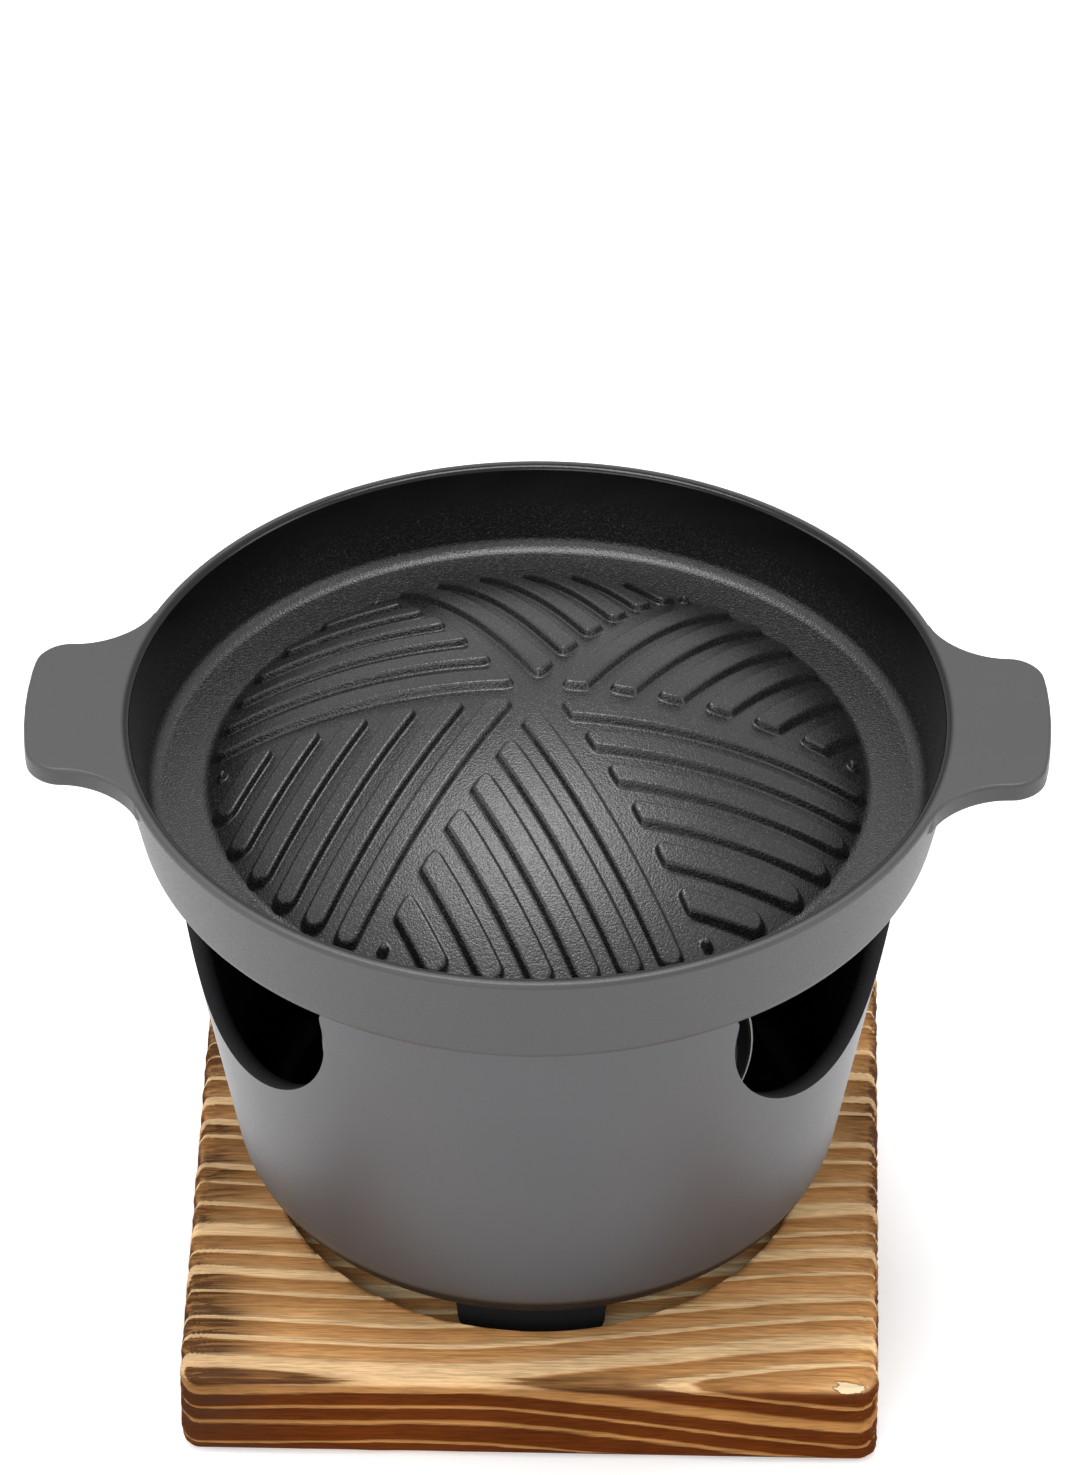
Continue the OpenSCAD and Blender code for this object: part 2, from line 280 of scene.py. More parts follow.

# %% [markdown]
# ## Pan and stove finishes
# Outside, both castings have a satin mid-grey paint, and a thin lacquer on the stove's brightens it
# towards its sides. Inside, the pan has a black non-stick coat with painted glints, and the stove is
# nearly black with soot. Two numbers stored on the mesh steer this. "inside" says which side a point
# is on, so the change of finish follows the rim exactly. "shade" marks painted shade, where the coat
# is also calmer: the stove's grey darkens towards its bottom and loses its lacquer, its feet are a
# darker paint with painted shade over it, and the inside of the pan's wall reflects less and has no
# glints.

# %% Two-sided coat
MOTTLE_TONES, GRAIN_ROUGH = (0.97, 1.02), (-0.05, 0.06)
# Painted shade: its share of the grey, how calm its grain is, and inside how much smoother and duller
# it is.
SHADE_TONE, SHADE_CALM = 0.34, 0.15
SHADE_SMOOTH, SHADE_DULL = 0.12, 0.45
# Grey of the flecks painted in as glints.
GLINT_FLECK_GREY = (0.42, 0.42, 0.43)
COAT_DEPTH, LACQUER_ROUGH = 0.0004, 0.42


def read_layer(tree, name):
    """A number that is stored on the mesh."""
    return add(tree, "ShaderNodeAttribute", attribute_name=name).outputs["Fac"]


def make_coated_metal(name, grey, black, glint, grain, rough, bump, gloss, lacquer):
    """A casting that is painted grey outside and black inside; pairs are outside and inside."""
    material, tree, shader = start_material(name)
    coat = add(tree, "ShaderNodeGroup", {"Grain": grain}, node_tree=sprayed_coat).outputs
    inside, shade = read_layer(tree, "inside"), read_layer(tree, "shade")
    # Painted shade inside: where the shade layer meets the lining, it reflects less.
    painted_shade_inside = times(tree, inside, shade)

    tone = vary(tree, coat["Mottle"], *MOTTLE_TONES)
    paint = mix_colour(tree, 1.0, grey, tone, "MULTIPLY")
    # Painted shade: where the shade layer is 1 the grey darkens to a third, on the stove's feet and
    # towards its bottom.
    paint = mix_colour(tree, shade, paint, tuple(SHADE_TONE * c for c in grey))
    # Pale flecks are painted glints, and the painted shade takes them away.
    glints = times(tree, coat["Flecks"], fade(tree, shade, glint, 0.0))
    lining = mix_colour(tree, glints, black, GLINT_FLECK_GREY)
    tree.links.new(mix_colour(tree, inside, paint, lining), shader.inputs["Base Color"])

    spread = vary(tree, coat["Height"], *GRAIN_ROUGH)
    level = fade(tree, inside, *rough)
    # The painted shade inside is smoother and, through Metallic, reflects less, so it reads darker.
    level = sums(tree, "SUBTRACT", level, times(tree, painted_shade_inside, SHADE_SMOOTH))
    tree.links.new(sums(tree, "ADD", spread, level), shader.inputs["Roughness"])
    tree.links.new(times(tree, painted_shade_inside, SHADE_DULL), shader.inputs["Metallic"])
    # The lacquer is taken off the painted shade as well as off the inside.
    if lacquer > 0:
        bare = sums(tree, "MAXIMUM", inside, shade)
        tree.links.new(fade(tree, bare, lacquer, 0.0), shader.inputs["Coat Weight"])
        shader.inputs["Coat Roughness"].default_value = LACQUER_ROUGH

    peel = times(tree, coat["Height"], fade(tree, inside, *bump))
    peel = times(tree, peel, fade(tree, shade, 1.0, SHADE_CALM))
    set_bump(tree, shader, peel, 1.0, COAT_DEPTH)
    shader.inputs["Specular IOR Level"].default_value = gloss
    return material


print("coat depth in mm", COAT_DEPTH / MM)

# %% Both finishes
pan_coat = make_coated_metal(
    "nonstick_pan", grey=(0.031, 0.0302, 0.0322), black=(0.0020, 0.0020, 0.0022), glint=0.07,
    grain=2300.0, rough=(0.47, 0.28), bump=(0.10, 0.34), gloss=0.60, lacquer=0.0)
stove_paint = make_coated_metal(
    "cast_stove", grey=(0.0485, 0.0465, 0.0510), black=(0.0014, 0.0014, 0.0015), glint=0.02,
    grain=1900.0, rough=(0.47, 0.50), bump=(0.14, 0.22), gloss=0.10, lacquer=0.8)
print("finishes:", pan_coat.name, stove_paint.name)

# %% [markdown]
# ## The pan's turned body
# The pan is a casting with a low flared wall, a flat moat and a hollow dome. On a lathe it would
# be one section, so here it is one wire: up the hollow underside, out along the foot, up the
# wall, over the rim, down to the moat and up the dome. The two dome lines are true arcs, swung
# about the centre of their sphere, so that the ribs can later follow them exactly.

# %% Pan sizes
PAN_Z = 110.0
RIM_R, FOOT_R, PAN_H, PAN_WALL, PAN_FLOOR = 82.5, 77.5, 23.5, 2.8, 6.0
DOME_H, DOME_WALL, MOAT_W = 22.0, 3.5, 11.0
PAN_TURN_STEPS, HOLLOW_STEPS, DOME_STEPS = 192, 20, 30
PAN_LEAN = atan((RIM_R - FOOT_R) / PAN_H)
RIM_IN_R = RIM_R - PAN_WALL / cos(PAN_LEAN)
MOAT_R = FOOT_R + PAN_FLOOR * tan(PAN_LEAN) - PAN_WALL / cos(PAN_LEAN)
DOME_R = MOAT_R - MOAT_W
BALL_R = (DOME_R ** 2 + DOME_H ** 2) / (2 * DOME_H)
BALL_Z = PAN_FLOOR + DOME_H - BALL_R
HOLLOW_R = sqrt((BALL_R - DOME_WALL) ** 2 - BALL_Z ** 2)
print("dome sphere radius", round(BALL_R, 2), "hollow radius", round(HOLLOW_R, 2))

# %% Pan body
pan = bmesh.new()
hollow_top = pan.verts.new((0, 0, BALL_Z + BALL_R - DOME_WALL))
hollow_edge = swing(pan, hollow_top, BALL_Z, asin(HOLLOW_R / (BALL_R - DOME_WALL)), HOLLOW_STEPS)
foot, rim_out, rim_in, moat, dome_foot = draw_wire(
    pan, [(FOOT_R, 0), (RIM_R, PAN_H), (RIM_IN_R, PAN_H), (MOAT_R, PAN_FLOOR), (DOME_R, PAN_FLOOR)])
pan.edges.new((hollow_edge, foot))
dome_top = swing(pan, dome_foot, BALL_Z, -asin(DOME_R / BALL_R), DOME_STEPS)
dome_top.co.x = 0
for corner, radius, segments in ((hollow_edge, 1.0, 3), (foot, 5, 8), (rim_out, 1.0, 5),
                                 (rim_in, 1.0, 5), (moat, 3, 8), (dome_foot, 2.5, 4)):
    round_corner(pan, corner, radius, segments)
turn_round(pan, PAN_TURN_STEPS)
print("pan body faces", len(pan.faces))

# %% [markdown]
# ## The ears
# Two flat ears are cast with the pan, flush with the rim. Each starts as a flat face drawn with a
# few points. The hollow sweep into the rim and the round outer corners are vertex bevels, and the
# face is then pulled down to the ear's thickness. The root reaches into the wall, so no seam shows.

# %% Ear outline
EAR_TIP_R, EAR_HALF_W, EAR_THICK, EAR_CORNER_R, EAR_EDGE_R = 100.0, 20.0, 4.2, 7.0, 0.7
ROOT_R, ROOT_TUCK, EAR_DROP = 16.0, 1.5, 0.02
ROOT_Y = EAR_HALF_W + ROOT_R
ROOT_TURN, ROOT_OVERLAP = asin(ROOT_Y / (RIM_R + ROOT_R)), 0.15
TUCK_TURNS, TIP_YS = (0.2, ROOT_TURN + 0.03), (EAR_HALF_W, 11.0, 5.5)
# Which points of the outline are the knee at the root and the outer corner.
KNEE, CORNER = 3, 4


def ear_outline_half():
    """Points of one half of the ear, from the rim to the middle of the tip."""
    touch = Vector((cos(ROOT_TURN), sin(ROOT_TURN))) * (RIM_R - ROOT_OVERLAP)
    reach = (touch.y - EAR_HALF_W) / cos(ROOT_TURN)
    knee = (touch.x + reach * sin(ROOT_TURN), EAR_HALF_W)
    tuck = [Vector((cos(a), sin(a))) * (RIM_R - ROOT_TUCK) for a in TUCK_TURNS]
    tip = [(sqrt(EAR_TIP_R ** 2 - y * y), y) for y in TIP_YS]
    return [tuple(point) for point in (*tuck, touch, knee, *tip)]


print("points of half an ear", len(ear_outline_half()))

# %% One ear
ROUNDED_FROM, LEVEL = RIM_R - 0.4, 1e-6


def round_edges(bm, edges, radius, segments, clamp=False):
    """Rounds the edges between faces."""
    bmesh.ops.bevel(bm, geom=edges, offset=radius, offset_type="OFFSET", segments=segments,
                    profile=0.5, affect="EDGES", clamp_overlap=clamp, material=-1)


def make_ear():
    ear = bmesh.new()
    half = ear_outline_half()
    outline = half + [(EAR_TIP_R, 0)] + [(x, -y) for x, y in reversed(half)] + [(RIM_R - ROOT_TUCK, 0)]
    verts = [ear.verts.new((x, y, PAN_H - EAR_DROP)) for x, y in outline]
    ear.faces.new(verts)
    for place, radius, segments in ((KNEE, ROOT_R, 12), (CORNER, EAR_CORNER_R, 8)):
        for vert in (verts[place], verts[2 * len(half) - place]):
            round_corner(ear, vert, radius, segments)
    made = bmesh.ops.extrude_face_region(ear, geom=ear.faces[:])
    bmesh.ops.translate(ear, verts=only(made["geom"], BMVert), vec=(0, 0, -EAR_THICK))
    bmesh.ops.recalc_face_normals(ear, faces=ear.faces[:])
    rims = [e for e in ear.edges if abs(e.verts[0].co.z - e.verts[1].co.z) < LEVEL
            and max(v.co.to_2d().length for v in e.verts) > ROUNDED_FROM]
    round_edges(ear, rims, EAR_EDGE_R, 3)
    return ear


print("ear thickness", EAR_THICK)


# %% Both ears
def turn_by(bm, angle):
    """Turns the whole mesh about the upright axis."""
    bmesh.ops.rotate(bm, verts=bm.verts[:], cent=(0, 0, 0), matrix=Matrix.Rotation(angle, 3, "Z"))


for turn in (0, pi):
    ear = make_ear()
    turn_by(ear, turn)
    pour(pan, ear)
print("pan with ears faces", len(pan.faces))

# %% [markdown]
# ## The pinwheel of ribs
# Six sectors of parallel ribs drain the fat from the dome to the moat. In each sector the ribs run
# along one edge and are cut slantwise along the other, which leaves a channel. A rib could be a
# box, but cast ribs have soft shoulders and a small fillet at the root, so the outline is inset in
# several small steps that climb. The flat rib is then cut into short lengths and wrapped onto the
# sphere: its height becomes a distance from the dome.

# %% Rib sizes
PITCH, RIB_W, CHANNEL_W, RIB_H, RIB_END_R = 8.1, 5.1, 4.4, 1.6, DOME_R - 0.5
TIP_R, BLUNT, END_FIT = 1.1, 0.6, 0.97
SECTORS, SECTOR = 6, radians(60)
FLARE, LEAD_IN, LEAD_DROP, ROOT_SINK = 0.8, 0.3, 0.008, 0.6
ROOT_FILLET, SHOULDER_R, RIB_SLOPE = 0.55, 0.75, radians(68)
SLICE_W, SLICES, CLIMB_STEPS = 2.5, 26, 4


def climb_steps():
    """Inward and upward steps of a rib's side: root fillet, slope and rounded shoulder."""
    turns = [RIB_SLOPE * step / CLIMB_STEPS for step in range(CLIMB_STEPS + 1)]
    root = [(ROOT_FILLET * sin(t), ROOT_FILLET * (1 - cos(t))) for t in turns]
    round_h = SHOULDER_R * (1 - cos(RIB_SLOPE))
    straight = RIB_H - root[-1][1] - round_h
    start = (root[-1][0] + straight / tan(RIB_SLOPE), root[-1][1] + straight)
    top = [(start[0] + SHOULDER_R * (sin(RIB_SLOPE) - sin(t)), RIB_H - SHOULDER_R * (1 - cos(t)))
           for t in reversed(turns)]
    path = [(-LEAD_IN, -LEAD_DROP)] + root + top
    return [(b[0] - a[0], b[1] - a[1]) for a, b in zip(path, path[1:])]


print("rib side steps", [(round(i, 2), round(u, 2)) for i, u in climb_steps()])


# %% Rib outline
def rib_outline(bm, index):
    """The flat outline of a rib, a little wider than the rib for its root fillet."""
    near = -CHANNEL_W / 2 - index * PITCH + FLARE
    far = near - RIB_W - 2 * FLARE
    middle = (near + far) / 2
    near_x, far_x = [(CHANNEL_W / 2 - FLARE) / sin(SECTOR) - y / tan(SECTOR) for y in (near, far)]
    tip_r = TIP_R + FLARE
    end_r = END_FIT * (RIB_W / 2 + FLARE)
    span = (RIB_END_R - RIB_W / 2) ** 2 - middle ** 2
    end_x = sqrt(max(span, 0)) + RIB_W / 2 + FLARE
    if end_x < far_x + RIB_W:
        nub = (near_x + tip_r / tan(SECTOR / 2), near - tip_r, 0)
        made = bmesh.ops.create_circle(bm, cap_ends=True, radius=tip_r, segments=20,
                                       matrix=Matrix.Translation(nub))
        return made["verts"][0].link_faces[0]
    corners = [(near_x, near), (far_x, far), (end_x, far), (end_x, near)]
    verts = [bm.verts.new((x, y, 0)) for x, y in corners]
    bm.faces.new(verts)
    rounds = ((tip_r + BLUNT, 5), (tip_r, 5), (end_r, 7), (end_r, 7))
    for vert, (radius, segments) in zip(verts, rounds):
        round_corner(bm, vert, radius, segments)
    return max(bm.faces, key=lambda f: len(f.verts))


print("nubs stand for ribs shorter than", RIB_W)


# %% One rib
def everything(bm):
    return bm.verts[:] + bm.edges[:] + bm.faces[:]


def slice_across(bm, places):
    """Cuts the mesh at several places along X, so that a bend can follow."""
    for place in places:
        bmesh.ops.bisect_plane(bm, geom=everything(bm), dist=WELD, plane_co=(place, 0, 0),
                               plane_no=(1, 0, 0))


def make_rib(index):
    rib = bmesh.new()
    face = rib_outline(rib, index)
    face.normal_update()
    if face.normal.z < 0:
        face.normal_flip()
    bmesh.ops.translate(rib, verts=rib.verts[:], vec=(0, 0, -ROOT_SINK))
    made = bmesh.ops.extrude_face_region(rib, geom=[face], use_keep_orig=True)
    top = only(made["geom"], BMFace)[0]
    bmesh.ops.translate(rib, verts=top.verts[:], vec=(0, 0, ROOT_SINK - LEAD_DROP))
    top.normal_update()
    for inward, upward in climb_steps():
        bmesh.ops.inset_region(rib, faces=[top], thickness=inward, depth=upward,
                               use_boundary=True, use_even_offset=True)
        top.normal_update()
    slice_across(rib, [SLICE_W * step for step in range(1, SLICES + 1)])
    for vert in rib.verts:
        reach = BALL_R + vert.co.z
        vert.co.z = sqrt(reach ** 2 - vert.co.x ** 2 - vert.co.y ** 2) + BALL_Z
    return rib


print("rib height over the dome", RIB_H)


# %% All ribs
def repeat_round(bm, angle, steps):
    """Copies the whole mesh about the upright axis."""
    bmesh.ops.spin(bm, geom=everything(bm), cent=(0, 0, 0), axis=(0, 0, 1), angle=angle,
                   steps=steps, use_duplicate=True)


sector = bmesh.new()
rib_count = int((RIB_END_R * sin(SECTOR) - CHANNEL_W / 2) / PITCH) + 1
for index in range(rib_count):
    pour(sector, make_rib(index))
bmesh.ops.recalc_face_normals(sector, faces=sector.faces[:])
repeat_round(sector, (SECTORS - 1) * SECTOR, SECTORS - 1)
print("ribs", rib_count * SECTORS, "faces", len(sector.faces))
pour(pan, sector)

# %% Pan sides and hand-over
RIM_PAINT, HOLLOW_SKIN, FLOOR_SKIN, WALL_START = 1.9, 1.8, 0.6, 3.5

inside_layer = pan.verts.layers.float.new("inside")
shade_layer = pan.verts.layers.float.new("shade")
for vert in pan.verts:
    reach, z = vert.co.to_2d().length, vert.co.z
    depth = FOOT_R + (RIM_R - FOOT_R) * z / PAN_H - reach
    over_hollow = (vert.co - Vector((0, 0, BALL_Z))).length > BALL_R - HOLLOW_SKIN
    inside = depth > RIM_PAINT and z > PAN_FLOOR - FLOOR_SKIN and over_hollow
    vert[inside_layer] = float(inside)
    # The inside of the pan's wall carries painted shade: less reflection and no glints.
    vert[shade_layer] = float(inside and z > PAN_FLOOR + WALL_START and reach > MOAT_R)
grill_pan = finish_piece(pan, "coated_grill_pan", PAN_Z, "pan", "grill_pan", pan_coat,
                         hard=55)
flat_faces_first(grill_pan)

# %% [markdown]
# ## The stove's scalloped bucket
# The stove is a tapered bucket whose rim is scalloped in three places. Between the scallops stand
# three posts that carry the pan. A boolean cut would leave ragged shading, so each third of the wall
# is a grid whose columns end on the scallop's outline. The same grid is laid on the outer and on the
# inner cone, and the two top edges are bridged and rounded.

# %% Stove sizes
STOVE_Z = 24.0
BUCKET_R, BUCKET_LOW_R, BUCKET_H, BUCKET_WALL, BUCKET_FLOOR = 74.0, 58.5, 86.0, 3.5, 5.0
BUCKET_LEAN = atan((BUCKET_R - BUCKET_LOW_R) / BUCKET_H)
BOTTOM_ROUNDS = (14.0, 8.0)
SCALLOP_R, SCALLOP_DROP, POST_ROUND, LIP_R = 33.0, 5.0, 4.0, 1.0
SEAT_R, SEAT_H, SEAT_EDGE_R = 50.5, 3.0, 0.7
SEAT_TOP = BUCKET_FLOOR + SEAT_H
print("bucket lean in degrees", round(BUCKET_LEAN * 180 / pi, 2))

# %% Outline of a scallop
# Shares of half a rim outline at which the scallop, the straight rise and the post's round end.
SCALLOP_END, RISE_END, ROUND_END = 0.46, 0.50, 0.62


def cone_r(z, skin):
    """Radius of the bucket's wall at a height: skin is 0 outside and 1 inside."""
    return BUCKET_LOW_R + z * tan(BUCKET_LEAN) - skin * BUCKET_WALL / cos(BUCKET_LEAN)


def fillet_of(skin):
    """Level, radius and centre radius of the bucket's bottom round on either skin."""
    level, radius = (0.0, BUCKET_FLOOR)[skin], BOTTOM_ROUNDS[skin]
    centre = cone_r(level + radius, skin) - radius / cos(BUCKET_LEAN)
    return level, radius, centre


def edge_point(share):
    """Sideways distance, height and share of the post's top on half a rim outline.

    The outline runs from 0, the scallop's lowest point, to 1, the post's middle."""
    if share < SCALLOP_END:
        turn = share / SCALLOP_END * pi / 2
        return SCALLOP_R * sin(turn), BUCKET_H - SCALLOP_DROP - SCALLOP_R * cos(turn), None
    if share < RISE_END:
        rise = (share - SCALLOP_END) / (RISE_END - SCALLOP_END) * (SCALLOP_DROP - POST_ROUND)
        return SCALLOP_R, BUCKET_H - SCALLOP_DROP + rise, None
    if share < ROUND_END:
        turn = (share - RISE_END) / (ROUND_END - RISE_END) * pi / 2
        return (SCALLOP_R + POST_ROUND * (1 - cos(turn)),
                BUCKET_H - POST_ROUND * (1 - sin(turn)), None)
    return SCALLOP_R + POST_ROUND, BUCKET_H, (share - ROUND_END) / (1 - ROUND_END)


print("lowest point of a scallop", [round(size, 2) for size in edge_point(0)[:2]])

# %% A third of the wall
ROW_EASE, LOOP_SPLIT_Z, SEAM_WELD = 1.25, 20, 0.01


def wall_third(skin, columns=104, rows=18):
    """A grid laid on one cone between the bottom round and the scalloped rim."""
    wall = bmesh.new()
    bmesh.ops.create_grid(wall, x_segments=columns, y_segments=rows, size=1)
    level, radius, _ = fillet_of(skin)
    low_z = level + radius * (1 - sin(BUCKET_LEAN))
    for vert in wall.verts:
        share, side = abs(vert.co.x), 1 if vert.co.x >= 0 else -1
        across, top_z, along = edge_point(min(share, 1.0))
        top_turn = asin(across / cone_r(top_z, skin))
        if along is not None:
            top_turn += (pi / 3 - top_turn) * along
        climb = 1 - (1 - (vert.co.y + 1) / 2) ** ROW_EASE
        turn = pi / 3 * share + (top_turn - pi / 3 * share) * climb
        z = low_z + (top_z - low_z) * climb
        reach = cone_r(z, skin)
        bearing = pi / 2 - side * turn
        vert.co = (reach * cos(bearing), reach * sin(bearing), z)
    return wall


print("wall grid starts at", [round(fillet_of(skin)[0], 1) for skin in (0, 1)], "plus its round")


# %% Whole wall
def whole_wall(skin):
    """Three thirds, welded into one skin."""
    wall = wall_third(skin)
    repeat_round(wall, radians(240), 2)
    bmesh.ops.remove_doubles(wall, verts=wall.verts[:], dist=SEAM_WELD)
    return wall


def rim_loops(bm):
    """Open edges, split into the bottom loop and the scalloped top loop."""
    loose = [e for e in bm.edges if len(e.link_faces) == 1]
    low = [e for e in loose if max(v.co.z for v in e.verts) < LOOP_SPLIT_Z]
    return low, [e for e in loose if e not in set(low)]


print("rim width", round(cone_r(BUCKET_H, 0) - cone_r(BUCKET_H, 1), 2))

# %% [markdown]
# ## Closing the bucket's bottom
# The open bottom loop is pulled along the section of the bottom: first around the corner, then
# across to the middle. Inside, the section also climbs onto the raised round seat that the burner
# stands on. Pulling one loop keeps all columns in line with the wall's.

# %% Pulling a loop
def pull_outline(bm, loop, section, place_vert):
    """Extrudes a loop through a section, placing each new vertex by a rule."""
    for step in section:
        made = bmesh.ops.extrude_edge_only(bm, edges=loop)["geom"]
        loop = only(made, BMEdge)
        for vert in only(made, BMVert):
            place_vert(vert, *step)
    return loop


def on_ring(vert, radius, z):
    """Moves a vertex to a radius and a height, at its own angle round the axis."""
    flat = vert.co.to_2d().normalized() * radius
    vert.co = (flat.x, flat.y, z)


def close_bottom(bm, loop, section):
    """Pulls a round loop through a list of (radius, height) and closes it at the end."""
    loop = pull_outline(bm, loop, section, on_ring)
    last = list(dict.fromkeys(v for e in loop for v in e.verts))
    bmesh.ops.pointmerge(bm, verts=last, merge_co=(0, 0, section[-1][1]))


print("helpers: loops pulled through a section")

# %% Bottom sections
BOTTOM_STEPS, SEAT_EDGE_TURNS = 10, (0, 0.5, 1.05, pi / 2)
BOTTOM_RINGS, SEAT_RINGS = (30, 12, 2), (40, 20, 2)


def bottom_section(skin):
    """Section of the bottom from the wall to the middle, outside or inside."""
    level, radius, centre = fillet_of(skin)
    stop = 0.0 if skin == 0 else asin((SEAT_R - centre) / radius)
    start = pi / 2 - BUCKET_LEAN
    turns = [start + (stop - start) * step / BOTTOM_STEPS for step in range(1, BOTTOM_STEPS + 1)]
    section = [(centre + radius * sin(t), level + radius * (1 - cos(t))) for t in turns]
    if skin == 0:
        return section + [(reach, 0) for reach in BOTTOM_RINGS]
    edge = [(SEAT_R - SEAT_EDGE_R * (1 - cos(a)), SEAT_TOP - SEAT_EDGE_R * (1 - sin(a)))
            for a in SEAT_EDGE_TURNS]
    return section + edge + [(reach, SEAT_TOP) for reach in SEAT_RINGS]


print("points of the bottom's sections", [len(bottom_section(skin)) for skin in (0, 1)])

# %% Bucket
stove = bmesh.new()
for skin in (0, 1):
    wall = whole_wall(skin)
    close_bottom(wall, rim_loops(wall)[0], bottom_section(skin))
    pour(stove, wall)
bridged = bmesh.ops.bridge_loops(stove, edges=rim_loops(stove)[1])
lip_faces = set(bridged["faces"])
bmesh.ops.recalc_face_normals(stove, faces=stove.faces[:])
lip_edges = [e for e in stove.edges if len(e.link_faces) == 2
             and len([f for f in e.link_faces if f in lip_faces]) == 1]
round_edges(stove, lip_edges, LIP_R, 3, clamp=True)
print("bucket faces", len(stove.faces), "lip edges", len(lip_edges))

# %% [markdown]
# ## The feet
# Three short feet are cast under the posts. A foot is a block, tapered for the mould, with rounded
# lower edges, that is bent round the ring it stands on. Cutting the block into slices first lets
# the bend follow the ring.

# %% One foot
FOOT_H, FOOT_W, FOOT_OUT_R, FOOT_DEPTH, FOOT_DRAFT = 10.0, 31.0, 49.5, 8.0, 1.2
FOOT_ROUND, FOOT_EDGE_R, FOOT_TUCK, FOOT_SLICE = 3.0, 0.6, 2.5, 2.4
SAME_PLACE = 0.01


def make_foot():
    block = bmesh.new()
    bmesh.ops.create_cube(block, size=1)
    bmesh.ops.scale(block, verts=block.verts[:], vec=(FOOT_W, FOOT_DEPTH, FOOT_H + FOOT_TUCK))
    bmesh.ops.translate(block, verts=block.verts[:], vec=(0, 0, (FOOT_TUCK - FOOT_H) / 2))
    for vert in block.verts:
        if vert.co.z < 0:
            vert.co.x -= FOOT_DRAFT * (1 if vert.co.x > 0 else -1)
    ends = [e for e in block.edges if all(v.co.z < 0 for v in e.verts)
            and abs(e.verts[0].co.x - e.verts[1].co.x) < SAME_PLACE]
    round_edges(block, ends, FOOT_ROUND, 6)
    front_y = FOOT_DEPTH / 2 - SAME_PLACE
    fronts = [e for e in block.edges if all(abs(v.co.y) > front_y for v in e.verts)
              and e.verts[0].co.y * e.verts[1].co.y > 0 and min(v.co.z for v in e.verts) < 0]
    round_edges(block, fronts, FOOT_EDGE_R, 2)
    slice_across(block, [FOOT_SLICE * step for step in range(-5, 6)])
    for vert in block.verts:
        reach = FOOT_OUT_R - FOOT_DEPTH / 2 - vert.co.y
        turn = asin(vert.co.x / reach)
        vert.co.x, vert.co.y = reach * sin(turn), -reach * cos(turn)
    return block


print("foot width at the bottom", FOOT_W - 2 * FOOT_DRAFT)

# %% Three feet
for turn in (0, 120, 240):
    foot_block = make_foot()
    turn_by(foot_block, radians(turn))
    pour(stove, foot_block)
print("stove faces", len(stove.faces))

# %% Soot on the stove
# How black the inside is: deep on the wall, on the way there, and on the seat.
WALL_SOOT, LIP_SOOT, SEAT_SOOT = 1.0, 0.9, 0.86
INSIDE_Z, FOOT_SHADE_Z = 4.5, 2.6
SOOT_START, SOOT_FADE, SEAT_SKIN, WALL_SKIN = 0.15, 0.4, 1.0, 0.4
# How far a point may lie off a surface and still count as on it.
TOUCH = 0.1
# Painted shade low on the stove: its strength, where it starts and over how many millimetres it grows.
LOW_SHADE, SHADE_TOP, SHADE_SPAN = 0.55, 40.0, 60.0


def soot_at(point):
    """How far a point of the stove is on the inside, from 0 to 1."""
    reach, z = point.to_2d().length, point.z
    if z <= INSIDE_Z:
        return 0
    depth = (cone_r(z, 0) - reach) * cos(BUCKET_LEAN)
    on_seat = SEAT_TOP - SEAT_SKIN < z < SEAT_TOP + TOUCH and reach < SEAT_R + TOUCH
    most = SEAT_SOOT if on_seat else WALL_SOOT if depth > BUCKET_WALL - WALL_SKIN else LIP_SOOT
    return min(max((depth - SOOT_START) / SOOT_FADE, 0), most)


print("soot on the seat", round(soot_at(Vector((0, 0, SEAT_TOP))), 2))

# %% Stove hand-over
inside_layer = stove.verts.layers.float.new("inside")
shade_layer = stove.verts.layers.float.new("shade")
for vert in stove.verts:
    on_foot = vert.co.z < FOOT_SHADE_Z and vert.co.to_2d().length < FOOT_OUT_R + TOUCH
    # Painted shade: darker towards the bottom, and full on the feet, whose paint is darker too.
    low = min(max((SHADE_TOP - vert.co.z) / SHADE_SPAN, 0), 1)
    vert[inside_layer] = soot_at(vert.co)
    vert[shade_layer] = 1.0 if on_foot else LOW_SHADE * low
stove_body = finish_piece(stove, "cast_stove_body", STOVE_Z, "stove", "stove_body",
                          stove_paint)
flat_faces_first(stove_body)

# %% [markdown]
# ## Stainless finish
# The cup is pressed from stainless sheet. Its ledge shows fine radial scratches from the press, dried
# fuel has left a paler film on the bottom, and heat has browned the wall and the rim, which are also
# darkened as a painted reflection of the dark stove around them. The scratches run with the angle
# round the axis, so the noise reads the angle instead of plain coordinates. The wall, the ledge and
# the rim are told apart by their height.

# %% Steel tones
CUP_Z = 32.0
# Heights in millimetres at which each part of the cup fades in and out.
WALL_SPAN = (2.6, 4.0, 12.4, 13.2)
LEDGE_SPAN = (13.0, 13.6, 14.6, 15.2)
RIM_SPAN = (14.6, 15.2, 17.8, 18.4)
FILM_Y, FILM_EDGE, FILM_WANDER = -0.021, (0.0352, 0.0338), 0.0008
CLEAN_STEEL = (0.300, 0.299, 0.301)
# Heat tint of the wall and the rim, darkened further as a painted reflection of the dark stove.
WALL_HEAT_AND_DARK_REFLECTION, RIM_HEAT_AND_DARK_REFLECTION = (0.106, 0.081, 0.066), (0.024, 0.018, 0.0142)
FILM_TONES = (0.40, 0.392, 0.375), (0.49, 0.482, 0.470)
LEDGE_TONES = (0.23, 0.226, 0.22), (0.52, 0.515, 0.50)
